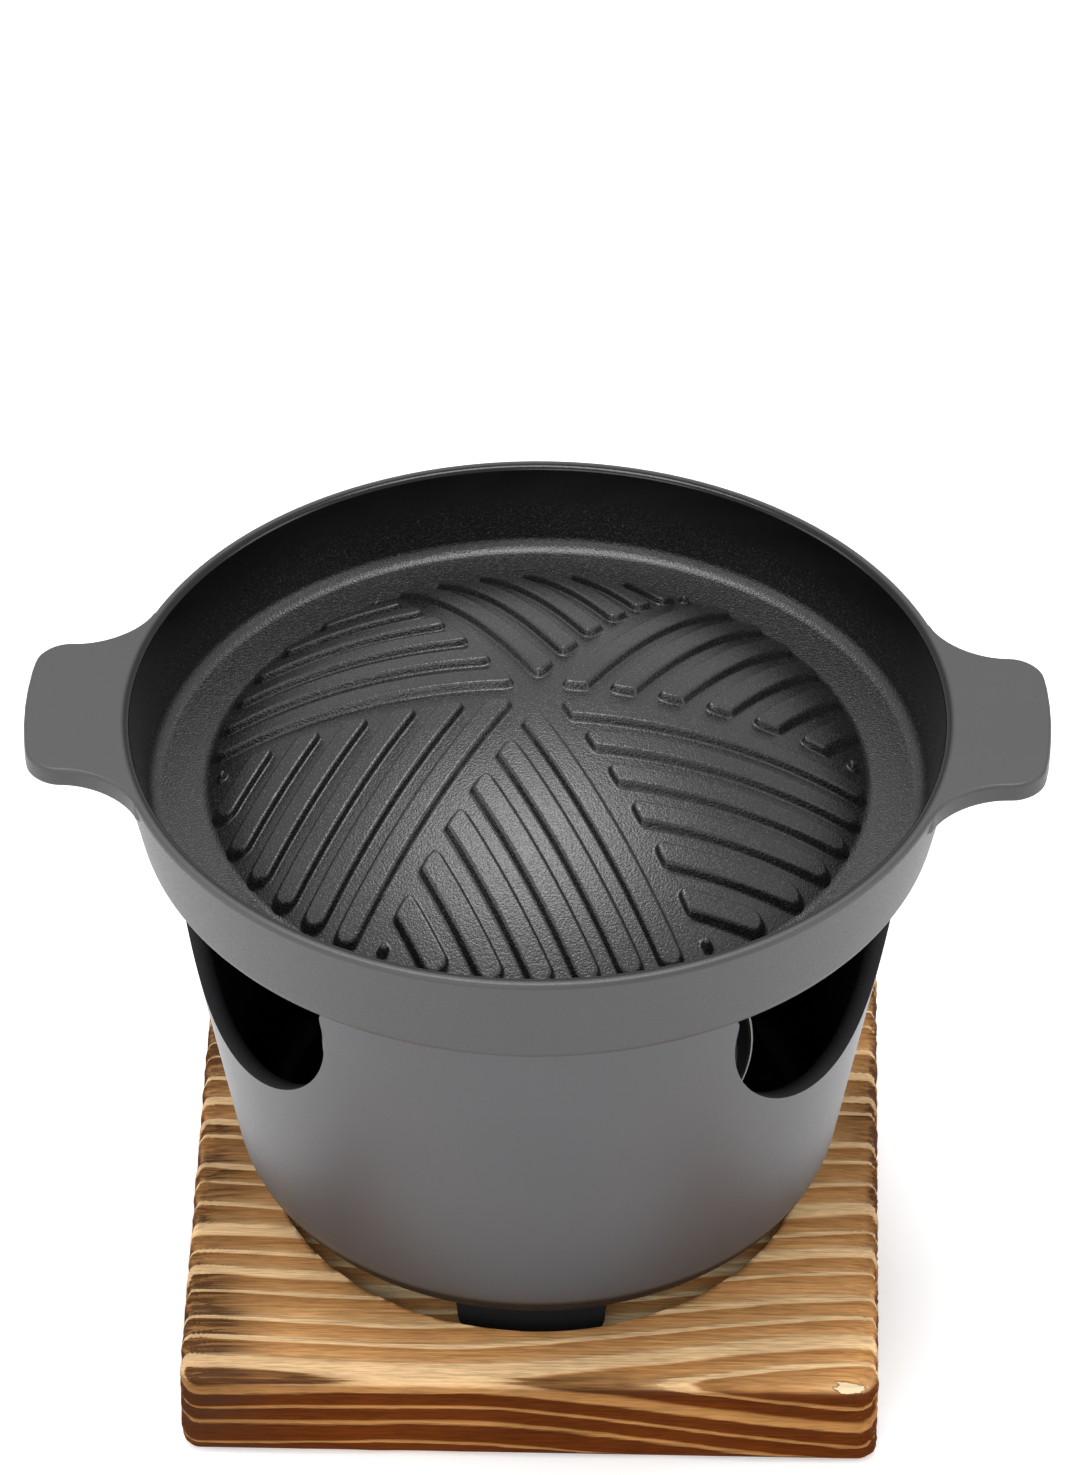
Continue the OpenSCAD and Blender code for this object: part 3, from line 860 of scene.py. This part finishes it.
# Noise scales of the scratches, round the axis, outwards and up, and of the clouds.
SCRATCH_SCALES, SCRATCH_FINE, CLOUD_SCALE = (60.0, 90.0, 40.0), 4.0, 32.0
# Spans of the scratches and of the heat tint with its painted dark reflection.
SCRATCH_SPAN, HEAT_AND_REFLECTION_SPAN = (0.35, 0.65), (0.3, 0.75, 0.86, 0.98)
SHEET_ROUGH, LEDGE_ROUGH, RIM_ROUGH = (0.17, 0.21), (0.14, 0.44), 0.28
SCRATCH_BUMP, SCRATCH_DEPTH = 0.25, 0.0002
print("ledge height", LEDGE_SPAN[0], "to", LEDGE_SPAN[-1])


# %% Round coordinates
def polar_place(tree, place, round_scale, out_scale, up_scale):
    """Coordinates that run round the axis, away from it and up, and the height."""
    part = add(tree, "ShaderNodeSeparateXYZ", {0: place}).outputs
    angle = sums(tree, "ARCTAN2", part["Y"], part["X"])
    squares = [times(tree, part[axis], part[axis]) for axis in ("X", "Y")]
    reach = sums(tree, "SQRT", sums(tree, "ADD", *squares))
    polar = add(tree, "ShaderNodeCombineXYZ", {"X": times(tree, angle, round_scale),
                                               "Y": times(tree, reach, out_scale),
                                               "Z": times(tree, part["Z"], up_scale)})
    return polar.outputs[0], part["Z"]


def between(tree, height, span):
    """1 between two heights, with a soft edge at both."""
    a, b, c, d = [h * MM for h in span]
    return times(tree, ease(tree, height, a, b), ease(tree, height, d, c))


print("helpers: coordinates round the axis and bands of height")


# %% Stainless
def make_stainless():
    material, tree, shader = start_material("burner_steel")
    place = object_place(tree)
    polar, z = polar_place(tree, place, *SCRATCH_SCALES)
    scratch = speckle(tree, polar, SCRATCH_FINE, 3.0, Roughness=0.7)
    cloud = speckle(tree, place, CLOUD_SCALE, 1.0)
    height = sums(tree, "SUBTRACT", z, CUP_Z * MM)
    wall, ledge, rim = [between(tree, height, span) for span in (WALL_SPAN, LEDGE_SPAN, RIM_SPAN)]

    pool = add(tree, "ShaderNodeVectorMath", {0: place, 1: (0.0, FILM_Y, CUP_Z * MM)},
               operation="DISTANCE").outputs["Value"]
    wander = vary(tree, cloud, -FILM_WANDER, FILM_WANDER)
    film = ease(tree, sums(tree, "ADD", pool, wander), *FILM_EDGE)
    steel = mix_colour(tree, film, CLEAN_STEEL, mix_colour(tree, cloud, *FILM_TONES))
    brushed = mix_colour(tree, ease(tree, scratch, *SCRATCH_SPAN), *LEDGE_TONES)
    steel = mix_colour(tree, ledge, steel, brushed)
    # The heat tint carries a painted dark reflection as well.
    heat_and_dark_reflection = ease(tree, cloud, *HEAT_AND_REFLECTION_SPAN)
    for share, tint in ((wall, WALL_HEAT_AND_DARK_REFLECTION), (rim, RIM_HEAT_AND_DARK_REFLECTION)):
        steel = mix_colour(tree, times(tree, share, heat_and_dark_reflection), steel, tint)
    tree.links.new(steel, shader.inputs["Base Color"])

    rough = vary(tree, cloud, *SHEET_ROUGH)
    rough = sums(tree, "ADD", rough, times(tree, ledge, vary(tree, scratch, *LEDGE_ROUGH)))
    rough = sums(tree, "ADD", rough, times(tree, rim, RIM_ROUGH))
    tree.links.new(rough, shader.inputs["Roughness"])
    shader.inputs["Metallic"].default_value = 1.0
    set_bump(tree, shader, times(tree, scratch, ledge), SCRATCH_BUMP, SCRATCH_DEPTH)
    return material


burner_steel = make_stainless()
print("finish:", burner_steel.name)

# %% [markdown]
# ## The burner cup
# The cup is one pressed sheet: a flat bottom with a round bend, a leaning wall, a narrow ledge, and
# a flared rim that ends in a rolled bead. The section is drawn once as the sheet's middle line, spun,
# and given its thickness, as a real sheet has the same thickness everywhere.

# %% Cup
CUP_SHEET, CUP_BEAD_R, CUP_BEAD_TURN, CUP_BEAD_Z = 0.9, 0.75, 43.25, 18.25
CUP_WALL_FOOT, CUP_WALL_TOP, CUP_RIM_FOOT, CUP_LEDGE_Z = 34.63, 37.42, 39.89, 13.55
CUP_TURN_STEPS = 160

cup = bmesh.new()
middle = draw_wire(cup, [(0, CUP_SHEET / 2), (CUP_WALL_FOOT, CUP_SHEET / 2),
                         (CUP_WALL_TOP, CUP_LEDGE_Z), (CUP_RIM_FOOT, CUP_LEDGE_Z),
                         (CUP_BEAD_TURN, CUP_BEAD_Z)])
for vert, radius, segments in ((middle[1], 3.0, 8), (middle[2], 0.8, 5), (middle[3], 1.1, 5)):
    round_corner(cup, vert, radius, segments)
turn_round(cup, CUP_TURN_STEPS)
bmesh.ops.recalc_face_normals(cup, faces=cup.faces[:])
bmesh.ops.solidify(cup, geom=cup.faces[:], thickness=CUP_SHEET)
bmesh.ops.recalc_face_normals(cup, faces=cup.faces[:])
lowest = min(v.co.z for v in cup.verts)
print("cup sheet lowest", round(lowest, 3), "widest", round(max(v.co.x for v in cup.verts), 2))

# %% Cup bead and hand-over
bmesh.ops.translate(cup, verts=cup.verts[:], vec=(0, 0, -lowest))
bead = bmesh.new()
upright = Matrix.Translation((CUP_BEAD_TURN, 0, CUP_BEAD_Z)) @ Matrix.Rotation(pi / 2, 4, "X")
bmesh.ops.create_circle(bead, segments=14, radius=CUP_BEAD_R, matrix=upright)
turn_round(bead, CUP_TURN_STEPS)
pour(cup, bead)
finish_piece(cup, "pressed_burner_cup", CUP_Z, "burner", "burner_cup",
             burner_steel)

# %% [markdown]
# ## Scorched softwood
# The board is softwood, scorched and brushed: the pale bands of each year's growth stand a little
# proud and the brown ones are hollowed. Growth rings are sheets in the log, so one number, the ring
# count, is worked out at every point of the board and stored on the mesh. It drives both the relief
# and the colour, so the bands turn over the edges as they do in real wood. Three ramps colour the
# bands: one for the top, a paler one for the routed recess and a dark one for the sides.

# %% Board sizes
SIDE_HALF, BOARD_H, CORNER_R, EDGE_R = 69.0, 20.0, 4.0, 2.0
RECESS_R, RECESS_DEPTH = 53.5, 6.0


def soft_step(value, low, high):
    """Climbs smoothly from 0 to 1 between two values."""
    share = min(max((value - low) / (high - low), 0), 1)
    return share * share * (3 - 2 * share)


def wood_noise(point, scales, start=0):
    """Smooth noise about zero, drawn out along the grain."""
    x, y, z = point
    return noise.noise(Vector((x * scales[0], y * scales[1], z * scales[2] + start)))


print("board width", 2 * SIDE_HALF, "wood under the recess", BOARD_H - RECESS_DEPTH)

# %% Ring count
RING_RISE, RING_DEPTH, FIRST_RING = 4.5, 6.6, 40
# The sweep starts on a slanted line and ends near the sides, by so many rings right and left.
SWEEP_START, SWEEP_SLANT, SWEEP_END, SWEEP_RIGHT, SWEEP_LEFT = -15, 0.3, 76, 1.75, 0.3
LEAN, LEAN_SCALES, LEAN_FROM = 0.5, (0.008, 0.02, 0.02), 3.1
RIPPLE, RIPPLE_SCALES, RIPPLE_FROM = 0.07, (0.05, 0.2, 0.1), 9.7
# Good and bad years: how much a ring moves, how often, and where that starts.
YEAR_WAVES = (0.12, 1.9, 0), (0.08, 3.3, 1)
HOLLOW_FALL, HOLLOW_RISE = (0.26, 0.48), (0.86, 1.0)


def ring_count(point):
    """Growth rings passed at a point of the board, with the sweep that the tree grew with."""
    x, y, z = point
    begin = SWEEP_START - SWEEP_SLANT * (y + SIDE_HALF)
    sweep = SWEEP_RIGHT * soft_step(x, begin, SWEEP_END) - SWEEP_LEFT * soft_step(x, -SWEEP_END, begin)
    lean = LEAN * wood_noise(point, LEAN_SCALES, LEAN_FROM)
    ripple = RIPPLE * wood_noise(point, RIPPLE_SCALES, RIPPLE_FROM)
    count = z / RING_RISE - y / RING_DEPTH + sweep + lean + ripple + FIRST_RING
    return sum((size * sin(rate * count + start) for size, rate, start in YEAR_WAVES), count)


def hollow_of(ring):
    """How far a point lies in the hollow of its ring, from 0 on the pale crest to 1."""
    part = ring - floor(ring)
    return soft_step(part, *HOLLOW_FALL) * (1 - soft_step(part, *HOLLOW_RISE))


ends = (-SIDE_HALF, SIDE_HALF)
corner_rings = [ring_count((x, y, BOARD_H)) for x in ends for y in ends]
print("ring count at the board's corners", [round(ring, 1) for ring in corner_rings])


# %% Wood colours
def blend_stops(tree, share, stops):
    """A ramp through several colours."""
    made = add(tree, "ShaderNodeValToRGB", {"Fac": share})
    points = made.color_ramp.elements
    while len(points) < len(stops):
        points.new(0.5)
    for point, (position, colour) in zip(points, stops):
        point.position, point.color = position, (*colour, 1.0)
    return made.outputs["Color"]


TOP_BAND = [
    (0.0, (0.95, 0.625, 0.325)), (0.22, (0.96, 0.640, 0.335)), (0.28, (0.490, 0.225, 0.074)),
    (0.60, (0.630, 0.312, 0.113)), (0.88, (0.710, 0.378, 0.150)), (1.0, (0.92, 0.590, 0.300))]
ROUTED_BAND = [
    (0.0, (1.0, 0.720, 0.400)), (0.26, (1.0, 0.735, 0.410)), (0.32, (0.580, 0.262, 0.084)),
    (0.60, (0.670, 0.330, 0.116)), (0.88, (0.770, 0.415, 0.165)), (1.0, (0.98, 0.680, 0.360))]
FLANK_BAND = [
    (0.0, (0.40, 0.195, 0.064)), (0.18, (0.36, 0.165, 0.050)), (0.27, (0.110, 0.0245, 0.0025)),
    (0.92, (0.098, 0.0215, 0.0022)), (1.0, (0.38, 0.182, 0.058))]
CHAR, SWIRL_MARK = (0.050, 0.019, 0.008), (0.30, 0.14, 0.05)
CHIP_EDGE, FRESH_WOOD = (0.12, 0.045, 0.016), (0.84, 0.66, 0.42)
print("colour stops:", len(TOP_BAND), len(ROUTED_BAND), len(FLANK_BAND))

# %% Fibres, rings and router marks
FIBRE_SPAN, LONG_FRAY, SHORT_FRAY, YEAR_WIDTHS = (0.25, 0.75), 0.04, 0.02, (0.6, 1.5)
SWIRL_EYE, SWIRL_PITCH = (0.022, -0.012, 0.014), 1500.0
SWIRL_CREST, SWIRL_PATCH = (0.80, 1.0), (0.52, 0.66)


def fibres(tree, place, along, across, detail):
    """Noise that is drawn out along the grain."""
    stretched = add(tree, "ShaderNodeMapping", {"Vector": place, "Scale": (along, across, across)})
    return speckle(tree, stretched.outputs[0], 1.0, detail, Roughness=0.6)


def ring_part(tree, ring, long_fibre, short_fibre):
    """How far a point is through its ring, with frayed edges and years of unlike width."""
    frayed = ring
    for fibre, fray in ((long_fibre, LONG_FRAY), (short_fibre, SHORT_FRAY)):
        frayed = sums(tree, "ADD", frayed, ease(tree, fibre, *FIBRE_SPAN, -fray, fray))
    year = add(tree, "ShaderNodeTexWhiteNoise", {"W": sums(tree, "FLOOR", frayed)},
               noise_dimensions="1D").outputs["Value"]
    return sums(tree, "POWER", sums(tree, "FRACT", frayed), fade(tree, year, *YEAR_WIDTHS))


def router_swirl(tree, place, patch, routed):
    """Faint rings that the router has left on parts of the recess."""
    away = add(tree, "ShaderNodeVectorMath", {0: place, 1: SWIRL_EYE}, operation="DISTANCE")
    wave = sums(tree, "SINE", times(tree, away.outputs["Value"], SWIRL_PITCH))
    marks = times(tree, ease(tree, wave, *SWIRL_CREST), ease(tree, patch, *SWIRL_PATCH))
    return times(tree, marks, routed)


print("router rings in mm", round(2 * pi / SWIRL_PITCH / MM, 2))

# %% Wood tones and relief
# Noise scales along and across the grain with their detail, and the scale of the patches.
LONG_FIBRE, SHORT_FIBRE, PATCH_SCALE = (30.0, 1100.0, 4.0), (170.0, 2600.0, 2.0), 24.0
# A row of four is a span of noise or of a ring, and the tones or shares that it gives.
PATCH_TONES, LONG_TONES = (0.34, 0.68, 1.08, 0.88), (0.28, 0.72, 0.82, 1.16)
SHORT_TONES = (0.32, 0.62, 0.78, 1.10)
LONG_BURN, PATCH_BURN = (0.32, 0.66, 0.55, 1.45), (0.28, 0.60, 0.55, 1.0)
BAND_BURN, MOST_CHAR = (0.22, 0.29, 0.36, 1.0), 0.92
CHIP_FRAY, CHIP_RIM, CHIP_BODY = 0.15, (0.15, 0.32, 0.0, 0.6), (0.42, 0.54)
SWIRL_SHARE, SWIRL_RELIEF, SHORT_RELIEF = 0.15, 0.6, 0.5
CREST, CREST_FALL, CREST_RISE = 0.7, (0.20, 0.30), (0.90, 1.0)
WOOD_ROUGH, WOOD_GLOSS, WOOD_BUMP, WOOD_DEPTH = (0.72, 0.56), 0.04, 0.4, 0.0005
print("fibre widths in mm", [round(1 / fibre[1] / MM, 2) for fibre in (LONG_FIBRE, SHORT_FIBRE)])


# %% Wood
def make_wood():
    material, tree, shader = start_material("scorched_wood")
    place = object_place(tree)
    ring, scorch, flank, chip, routed = [
        read_layer(tree, name) for name in ("ring", "scorch", "flank", "chip", "routed")]
    long_fibre = fibres(tree, place, *LONG_FIBRE)
    short_fibre = fibres(tree, place, *SHORT_FIBRE)
    patch = speckle(tree, place, PATCH_SCALE, 3.0)
    part = ring_part(tree, ring, long_fibre, short_fibre)
    swirl = router_swirl(tree, place, patch, routed)

    top, recess, sides = [blend_stops(tree, part, band) for band in (TOP_BAND, ROUTED_BAND, FLANK_BAND)]
    body = mix_colour(tree, routed, mix_colour(tree, flank, top, sides), recess)
    for source, tones in ((patch, PATCH_TONES), (long_fibre, LONG_TONES), (short_fibre, SHORT_TONES)):
        body = mix_colour(tree, 1.0, body, ease(tree, source, *tones), "MULTIPLY")
    burn = scorch
    for source, shares in ((long_fibre, LONG_BURN), (patch, PATCH_BURN), (part, BAND_BURN)):
        burn = times(tree, burn, ease(tree, source, *shares))
    body = mix_colour(tree, sums(tree, "MINIMUM", burn, MOST_CHAR), body, CHAR)
    body = mix_colour(tree, times(tree, swirl, SWIRL_SHARE), body, SWIRL_MARK)
    ragged = sums(tree, "ADD", chip, vary(tree, short_fibre, -CHIP_FRAY, CHIP_FRAY))
    body = mix_colour(tree, ease(tree, ragged, *CHIP_RIM), body, CHIP_EDGE)
    body = mix_colour(tree, ease(tree, ragged, *CHIP_BODY), body, FRESH_WOOD)
    tree.links.new(body, shader.inputs["Base Color"])

    tree.links.new(vary(tree, long_fibre, *WOOD_ROUGH), shader.inputs["Roughness"])
    shader.inputs["Specular IOR Level"].default_value = WOOD_GLOSS
    height = sums(tree, "ADD", long_fibre, times(tree, short_fibre, SHORT_RELIEF))
    height = sums(tree, "SUBTRACT", height, times(tree, swirl, SWIRL_RELIEF))
    crest = sums(tree, "MAXIMUM", ease(tree, part, *CREST_FALL, CREST, 0.0),
                 ease(tree, part, *CREST_RISE, 0.0, CREST))
    set_bump(tree, shader, sums(tree, "ADD", height, crest), WOOD_BUMP, WOOD_DEPTH)
    return material


scorched_wood = make_wood()
print("finish:", scorched_wood.name)

# %% [markdown]
# ## The board
# The board is a rounded square with a round recess that a router has cut. The top is the band
# between two loops, a rounded square and a circle, so the two are bridged and cut into narrow rings.
# The recess and the sides are pulled from the same loops. Then every point sinks by the hollow of
# its ring, and numbers for the scorch marks, the chip and the recess are stored for the finish.

# %% Board outline
CORE = SIDE_HALF - CORNER_R
SIDE_CUTS, TOP_CUTS, LIP_W = 113, 26, 0.35

board = bmesh.new()
bmesh.ops.create_grid(board, x_segments=1, y_segments=1, size=SIDE_HALF - EDGE_R)
for vert in board.verts[:]:
    round_corner(board, vert, CORNER_R - EDGE_R, 6)
bmesh.ops.delete(board, geom=board.faces[:], context="FACES_ONLY")
long_sides = [e for e in board.edges if e.calc_length() > SIDE_HALF / 2]
bmesh.ops.subdivide_edges(board, edges=long_sides, cuts=SIDE_CUTS)
bmesh.ops.translate(board, verts=board.verts[:], vec=(0, 0, BOARD_H))
square_loop = board.edges[:]
half_step = Matrix.Rotation(pi / len(square_loop), 4, "Z")
bmesh.ops.create_circle(board, segments=len(square_loop), radius=RECESS_R + LIP_W,
                        matrix=Matrix.Translation((0, 0, BOARD_H)) @ half_step)
round_loop = [e for e in board.edges if e not in set(square_loop)]
bmesh.ops.bridge_loops(board, edges=square_loop + round_loop)
between_loops = [e for e in board.edges if e not in set(square_loop) and e not in set(round_loop)]
bmesh.ops.subdivide_edges(board, edges=between_loops, cuts=TOP_CUTS, use_grid_fill=True)
print("points round the board", len(square_loop), "top faces", len(board.faces))

# %% Sides
SIDE_ROWS, EDGE_STEPS = 14, 4


def on_side(vert, out, z):
    """Moves a vertex of the outline to a distance from the board's core."""
    core = Vector((min(max(vert.co.x, -CORE), CORE), min(max(vert.co.y, -CORE), CORE)))
    flat = core + (vert.co.to_2d() - core).normalized() * out
    vert.co = (flat.x, flat.y, z)


def open_loops(bm):
    """Open edges of the top, split into the outer loop and the recess's."""
    loose = [e for e in bm.edges if len(e.link_faces) == 1]
    outer = [e for e in loose if max(v.co.to_2d().length for v in e.verts) > CORE - EDGE_R]
    return outer, [e for e in loose if e not in set(outer)]


turns = [pi / 2 * step / EDGE_STEPS for step in range(1, EDGE_STEPS + 1)]
low_out, side_h = CORNER_R - EDGE_R, BOARD_H - 2 * EDGE_R
section = [(low_out + EDGE_R * sin(t), BOARD_H - EDGE_R * (1 - cos(t))) for t in turns]
section += [(CORNER_R, BOARD_H - EDGE_R - side_h * step / SIDE_ROWS)
            for step in range(1, SIDE_ROWS + 1)]
section += [(low_out + EDGE_R * cos(t), EDGE_R * (1 - sin(t))) for t in turns]
outer, lip = open_loops(board)
bmesh.ops.contextual_create(board, geom=pull_outline(board, outer, section, on_side))
print("board faces with sides", len(board.faces))

# %% Recess
RECESS_ROWS, FLOOR_RINGS = 5, 40
LIP_DROP, RECESS_WALL, RECESS_ROUND = 0.4, 5.0, 0.5

floor_z = BOARD_H - RECESS_DEPTH
section = [(RECESS_R, BOARD_H - LIP_DROP - RECESS_WALL * step / RECESS_ROWS)
           for step in range(RECESS_ROWS + 1)]
section += [(RECESS_R * (1 - step / FLOOR_RINGS) - RECESS_ROUND, floor_z)
            for step in range(FLOOR_RINGS - 1)]
bmesh.ops.contextual_create(board, geom=pull_outline(board, lip, section, on_ring))
bmesh.ops.recalc_face_normals(board, faces=board.faces[:])
print("board faces with recess", len(board.faces))

# %% Scorch
BLOTCH_SCALES, BLOTCH_FROM, STREAK_SCALES = (0.03, 0.03, 0.05), 1.7, (0.02, 0.25, 0.25)
RIM_BAND, RIM_CLIMB = (SIDE_HALF - 4, SIDE_HALF - 0.6), (15, 19.2)
LEFT_BAND, RIGHT_BAND, BACK_CORNER = (45, SIDE_HALF), (50, SIDE_HALF), (-20, 20)
# Each burn has a level, a share of the blotches, and a share of the streaks or of the back corner.
RIM_BURN, LEFT_BURN, RIGHT_BURN = (0.45, 0.9, 0.4), (0.74, 0.6, 0.5), (0.10, 0.5, 0.24)
# Blotches in the recess, how dark the recess's wall is made, and the band that this covers.
RECESS_BLOTCH, RECESS_WALL_DARKENING, WALL_BAND = 0.1, 0.72, (RECESS_R - 0.8, RECESS_R - 0.2)


def weigh(burn, blotch, other):
    """How strong a burn is where the blotches and its other share are so strong."""
    level, of_blotch, of_other = burn
    return level + of_blotch * blotch + of_other * other


def scorch_at(point, in_recess):
    """How burnt the wood is along the top edges and at both ends, and how dark the recess's wall is."""
    x, y, z = point
    blotch = wood_noise(point, BLOTCH_SCALES, BLOTCH_FROM)
    streaks = wood_noise(point, STREAK_SCALES)
    rim = soft_step(max(abs(x), abs(y)), *RIM_BAND) * soft_step(z, *RIM_CLIMB)
    burns = [0, rim * weigh(RIM_BURN, blotch, streaks),
             soft_step(-x, *LEFT_BAND) * weigh(LEFT_BURN, blotch, streaks),
             soft_step(x, *RIGHT_BAND) * weigh(RIGHT_BURN, blotch, soft_step(y, *BACK_CORNER))]
    if in_recess:
        burns.append(RECESS_BLOTCH * blotch)
        if z > floor_z + TOUCH:
            # The recess's wall is darkened towards the char colour.
            burns.append(RECESS_WALL_DARKENING * soft_step(point.to_2d().length, *WALL_BAND))
    return min(max(burns), 1)


print("scorch at the left end", round(scorch_at(Vector((-SIDE_HALF, 0, BOARD_H)), False), 2))

# %% Chip and wear
CHIP_AT, CHIP_SIZE = (63.5, -68.2, 19.5), (3.4, 1.9, 1.4)
CHIP_RAGGED, CHIP_SCALE, CHIP_SLOPE = 0.45, 0.9, (0.0, 0.22)
WEAR_SCALES, WEAR_LEVEL, WEAR_DEPTH, WEAR_BAND = (0.12, 0.5, 0.5), 0.4, 0.25, 3


def chip_at(point):
    """1 on the chip that is knocked off the front corner."""
    away = sqrt(sum(((c - at) / size) ** 2 for c, at, size in zip(point, CHIP_AT, CHIP_SIZE)))
    return soft_step(1 - away + CHIP_RAGGED * noise.noise(point * CHIP_SCALE), *CHIP_SLOPE)


def wear_at(point):
    """How much the outer edges are worn down."""
    wear = WEAR_DEPTH * (wood_noise(point, WEAR_SCALES) + WEAR_LEVEL)
    return max(wear, 0) if max(abs(point.x), abs(point.y)) > SIDE_HALF - WEAR_BAND else 0


print("chip at its middle", round(chip_at(Vector(CHIP_AT)), 2))

# %% Relief and hand-over
LAYERS = ("ring", "scorch", "flank", "chip", "routed")
TOP_RELIEF, END_RELIEF, CHIP_DEPTH, RESTING_Z, ROUTED_IN = 0.13, 0.55, 0.7, 0.3, 0.4
FLANK_BELOW, END_GRAIN = (0.6, 2.2), (SIDE_HALF - 8, SIDE_HALF - 1)

layers = {name: board.verts.layers.float.new(name) for name in LAYERS}
board.normal_update()
sinks = {}
for vert in board.verts:
    point = vert.co.copy()
    reach, z = point.to_2d().length, point.z
    ring, chip = ring_count(point), chip_at(point)
    in_recess = reach < RECESS_R + TOUCH and z < BOARD_H - TOUCH
    vert[layers["ring"]] = ring
    vert[layers["scorch"]] = scorch_at(point, in_recess)
    vert[layers["flank"]] = 0.0 if in_recess else soft_step(BOARD_H - z, *FLANK_BELOW)
    vert[layers["chip"]] = chip
    vert[layers["routed"]] = float(in_recess and reach < RECESS_R - ROUTED_IN)
    end_grain = 0 if in_recess else soft_step(abs(point.x), *END_GRAIN)
    depth = TOP_RELIEF + END_RELIEF * end_grain
    sinks[vert] = depth * hollow_of(ring) + wear_at(point) + CHIP_DEPTH * chip
    if z < RESTING_Z:
        sinks[vert] = 0
for vert, sink in sinks.items():
    vert.co -= vert.normal * sink
finish_piece(board, "scorched_board", 0.0, "base", "wooden_base",
             scorched_wood, hard=50)
print("deepest hollow in mm", round(max(sinks.values()), 2))

# %% [markdown]
# ## Floor and light
# A large pale floor keeps the shadow and shows as white. A soft box overhead puts the glints on the
# dome, as in a product photograph, and wide panels at the front and the sides light the grey walls.
# The world is white where the camera or a reflection sees it, and dimmer where it only lights.

# %% Floor
FLOOR_HALF, FLOOR_Z, FLOOR_GREY, FLOOR_LIFT = 6, -0.0002, 0.93, 0.3


def seen_rays(tree):
    """1 for a ray from the camera, straight or through gloss or glass."""
    path = add(tree, "ShaderNodeLightPath").outputs
    seen = sums(tree, "MAXIMUM", path["Is Camera Ray"], path["Is Glossy Ray"])
    return sums(tree, "MAXIMUM", seen, path["Is Transmission Ray"])


def make_floor():
    bm = bmesh.new()
    bmesh.ops.create_grid(bm, x_segments=1, y_segments=1, size=FLOOR_HALF)
    mesh = bpy.data.meshes.new("floor")
    bm.to_mesh(mesh)
    bm.free()
    material, tree, shader = start_material("pale_floor")
    shader.inputs["Base Color"].default_value = (FLOOR_GREY, FLOOR_GREY, FLOOR_GREY, 1)
    shader.inputs["Roughness"].default_value = 0.9
    shader.inputs["Specular IOR Level"].default_value = 0.0
    glow = mix_colour(tree, seen_rays(tree), (0.0, 0.0, 0.0), (1.0, 1.0, 1.0))
    tree.links.new(glow, shader.inputs["Emission Color"])
    shader.inputs["Emission Strength"].default_value = FLOOR_LIFT
    mesh.materials.append(material)
    ground = bpy.data.objects.new("floor", mesh)
    bpy.context.scene.collection.objects.link(ground)
    ground.location.z = FLOOR_Z


make_floor()
print("floor half width in metres", FLOOR_HALF)

# %% World
WORLD_LIGHT, WORLD_SEEN = 0.70, 1.0


def make_world():
    world = bpy.data.worlds.new("studio")
    bpy.context.scene.world = world
    world.use_nodes = True
    tree = world.node_tree
    backdrop = tree.nodes["Background"].inputs
    level = add(tree, "ShaderNodeMapRange", {"Value": seen_rays(tree), "To Min": WORLD_LIGHT,
                                             "To Max": WORLD_SEEN}).outputs["Result"]
    tree.links.new(level, backdrop["Strength"])
    backdrop["Color"].default_value = (1, 1, 1, 1)


make_world()
print("world lights at", WORLD_LIGHT, "and is seen at", WORLD_SEEN)

# %% Lamps
AIM = Vector((0, 0, 0.1))


def add_panel(name, place, width, height, power):
    lamp = bpy.data.lights.new(name, "AREA")
    lamp.shape = "RECTANGLE"
    lamp.size, lamp.size_y, lamp.energy = width, height, power
    panel = bpy.data.objects.new(name, lamp)
    bpy.context.scene.collection.objects.link(panel)
    panel.location = place
    panel.rotation_euler = (AIM - Vector(place)).to_track_quat("-Z", "Y").to_euler()
    print(name, "metres", width, "by", height, "watts", power)


add_panel("overhead_box", (-0.06, 0.14, 1.25), 0.78, 0.6, 13)
add_panel("front_panel", (-0.45, -1.35, 0.75), 1.2, 0.9, 8)
add_panel("right_panel", (1.15, -0.25, 0.5), 0.5, 0.9, 3.5)
add_panel("left_panel", (-1.15, -0.15, 0.5), 0.5, 0.9, 3)

# %% [markdown]
# ## The camera
# The photograph looks down at about 39 degrees with a long lens, slightly from the right. The frame
# is 1075 by 1475 pixels, so the sensor's 36 mm lie along the height.

# %% Camera
SENSOR, FRAME_H, FOCAL_PIXELS = 36.0, 1475, 9000
TARGET_Z, REACH, RISE, TURN = 0.1274, 1.756, radians(38.7), radians(1.5)


def place_camera():
    lens = bpy.data.cameras.new("camera")
    lens.sensor_fit, lens.sensor_height, lens.sensor_width = "VERTICAL", SENSOR, SENSOR
    lens.lens = SENSOR * FOCAL_PIXELS / FRAME_H
    camera = bpy.data.objects.new("camera", lens)
    bpy.context.scene.collection.objects.link(camera)
    away = Vector((sin(TURN) * cos(RISE), -cos(TURN) * cos(RISE), sin(RISE)))
    camera.location = Vector((0, 0, TARGET_Z)) + away * REACH
    camera.rotation_euler = (-away).to_track_quat("-Z", "Y").to_euler()
    bpy.context.scene.camera = camera
    print("camera at", [round(c, 3) for c in camera.location])


place_camera()
bpy.context.scene.view_settings.view_transform = "Standard"
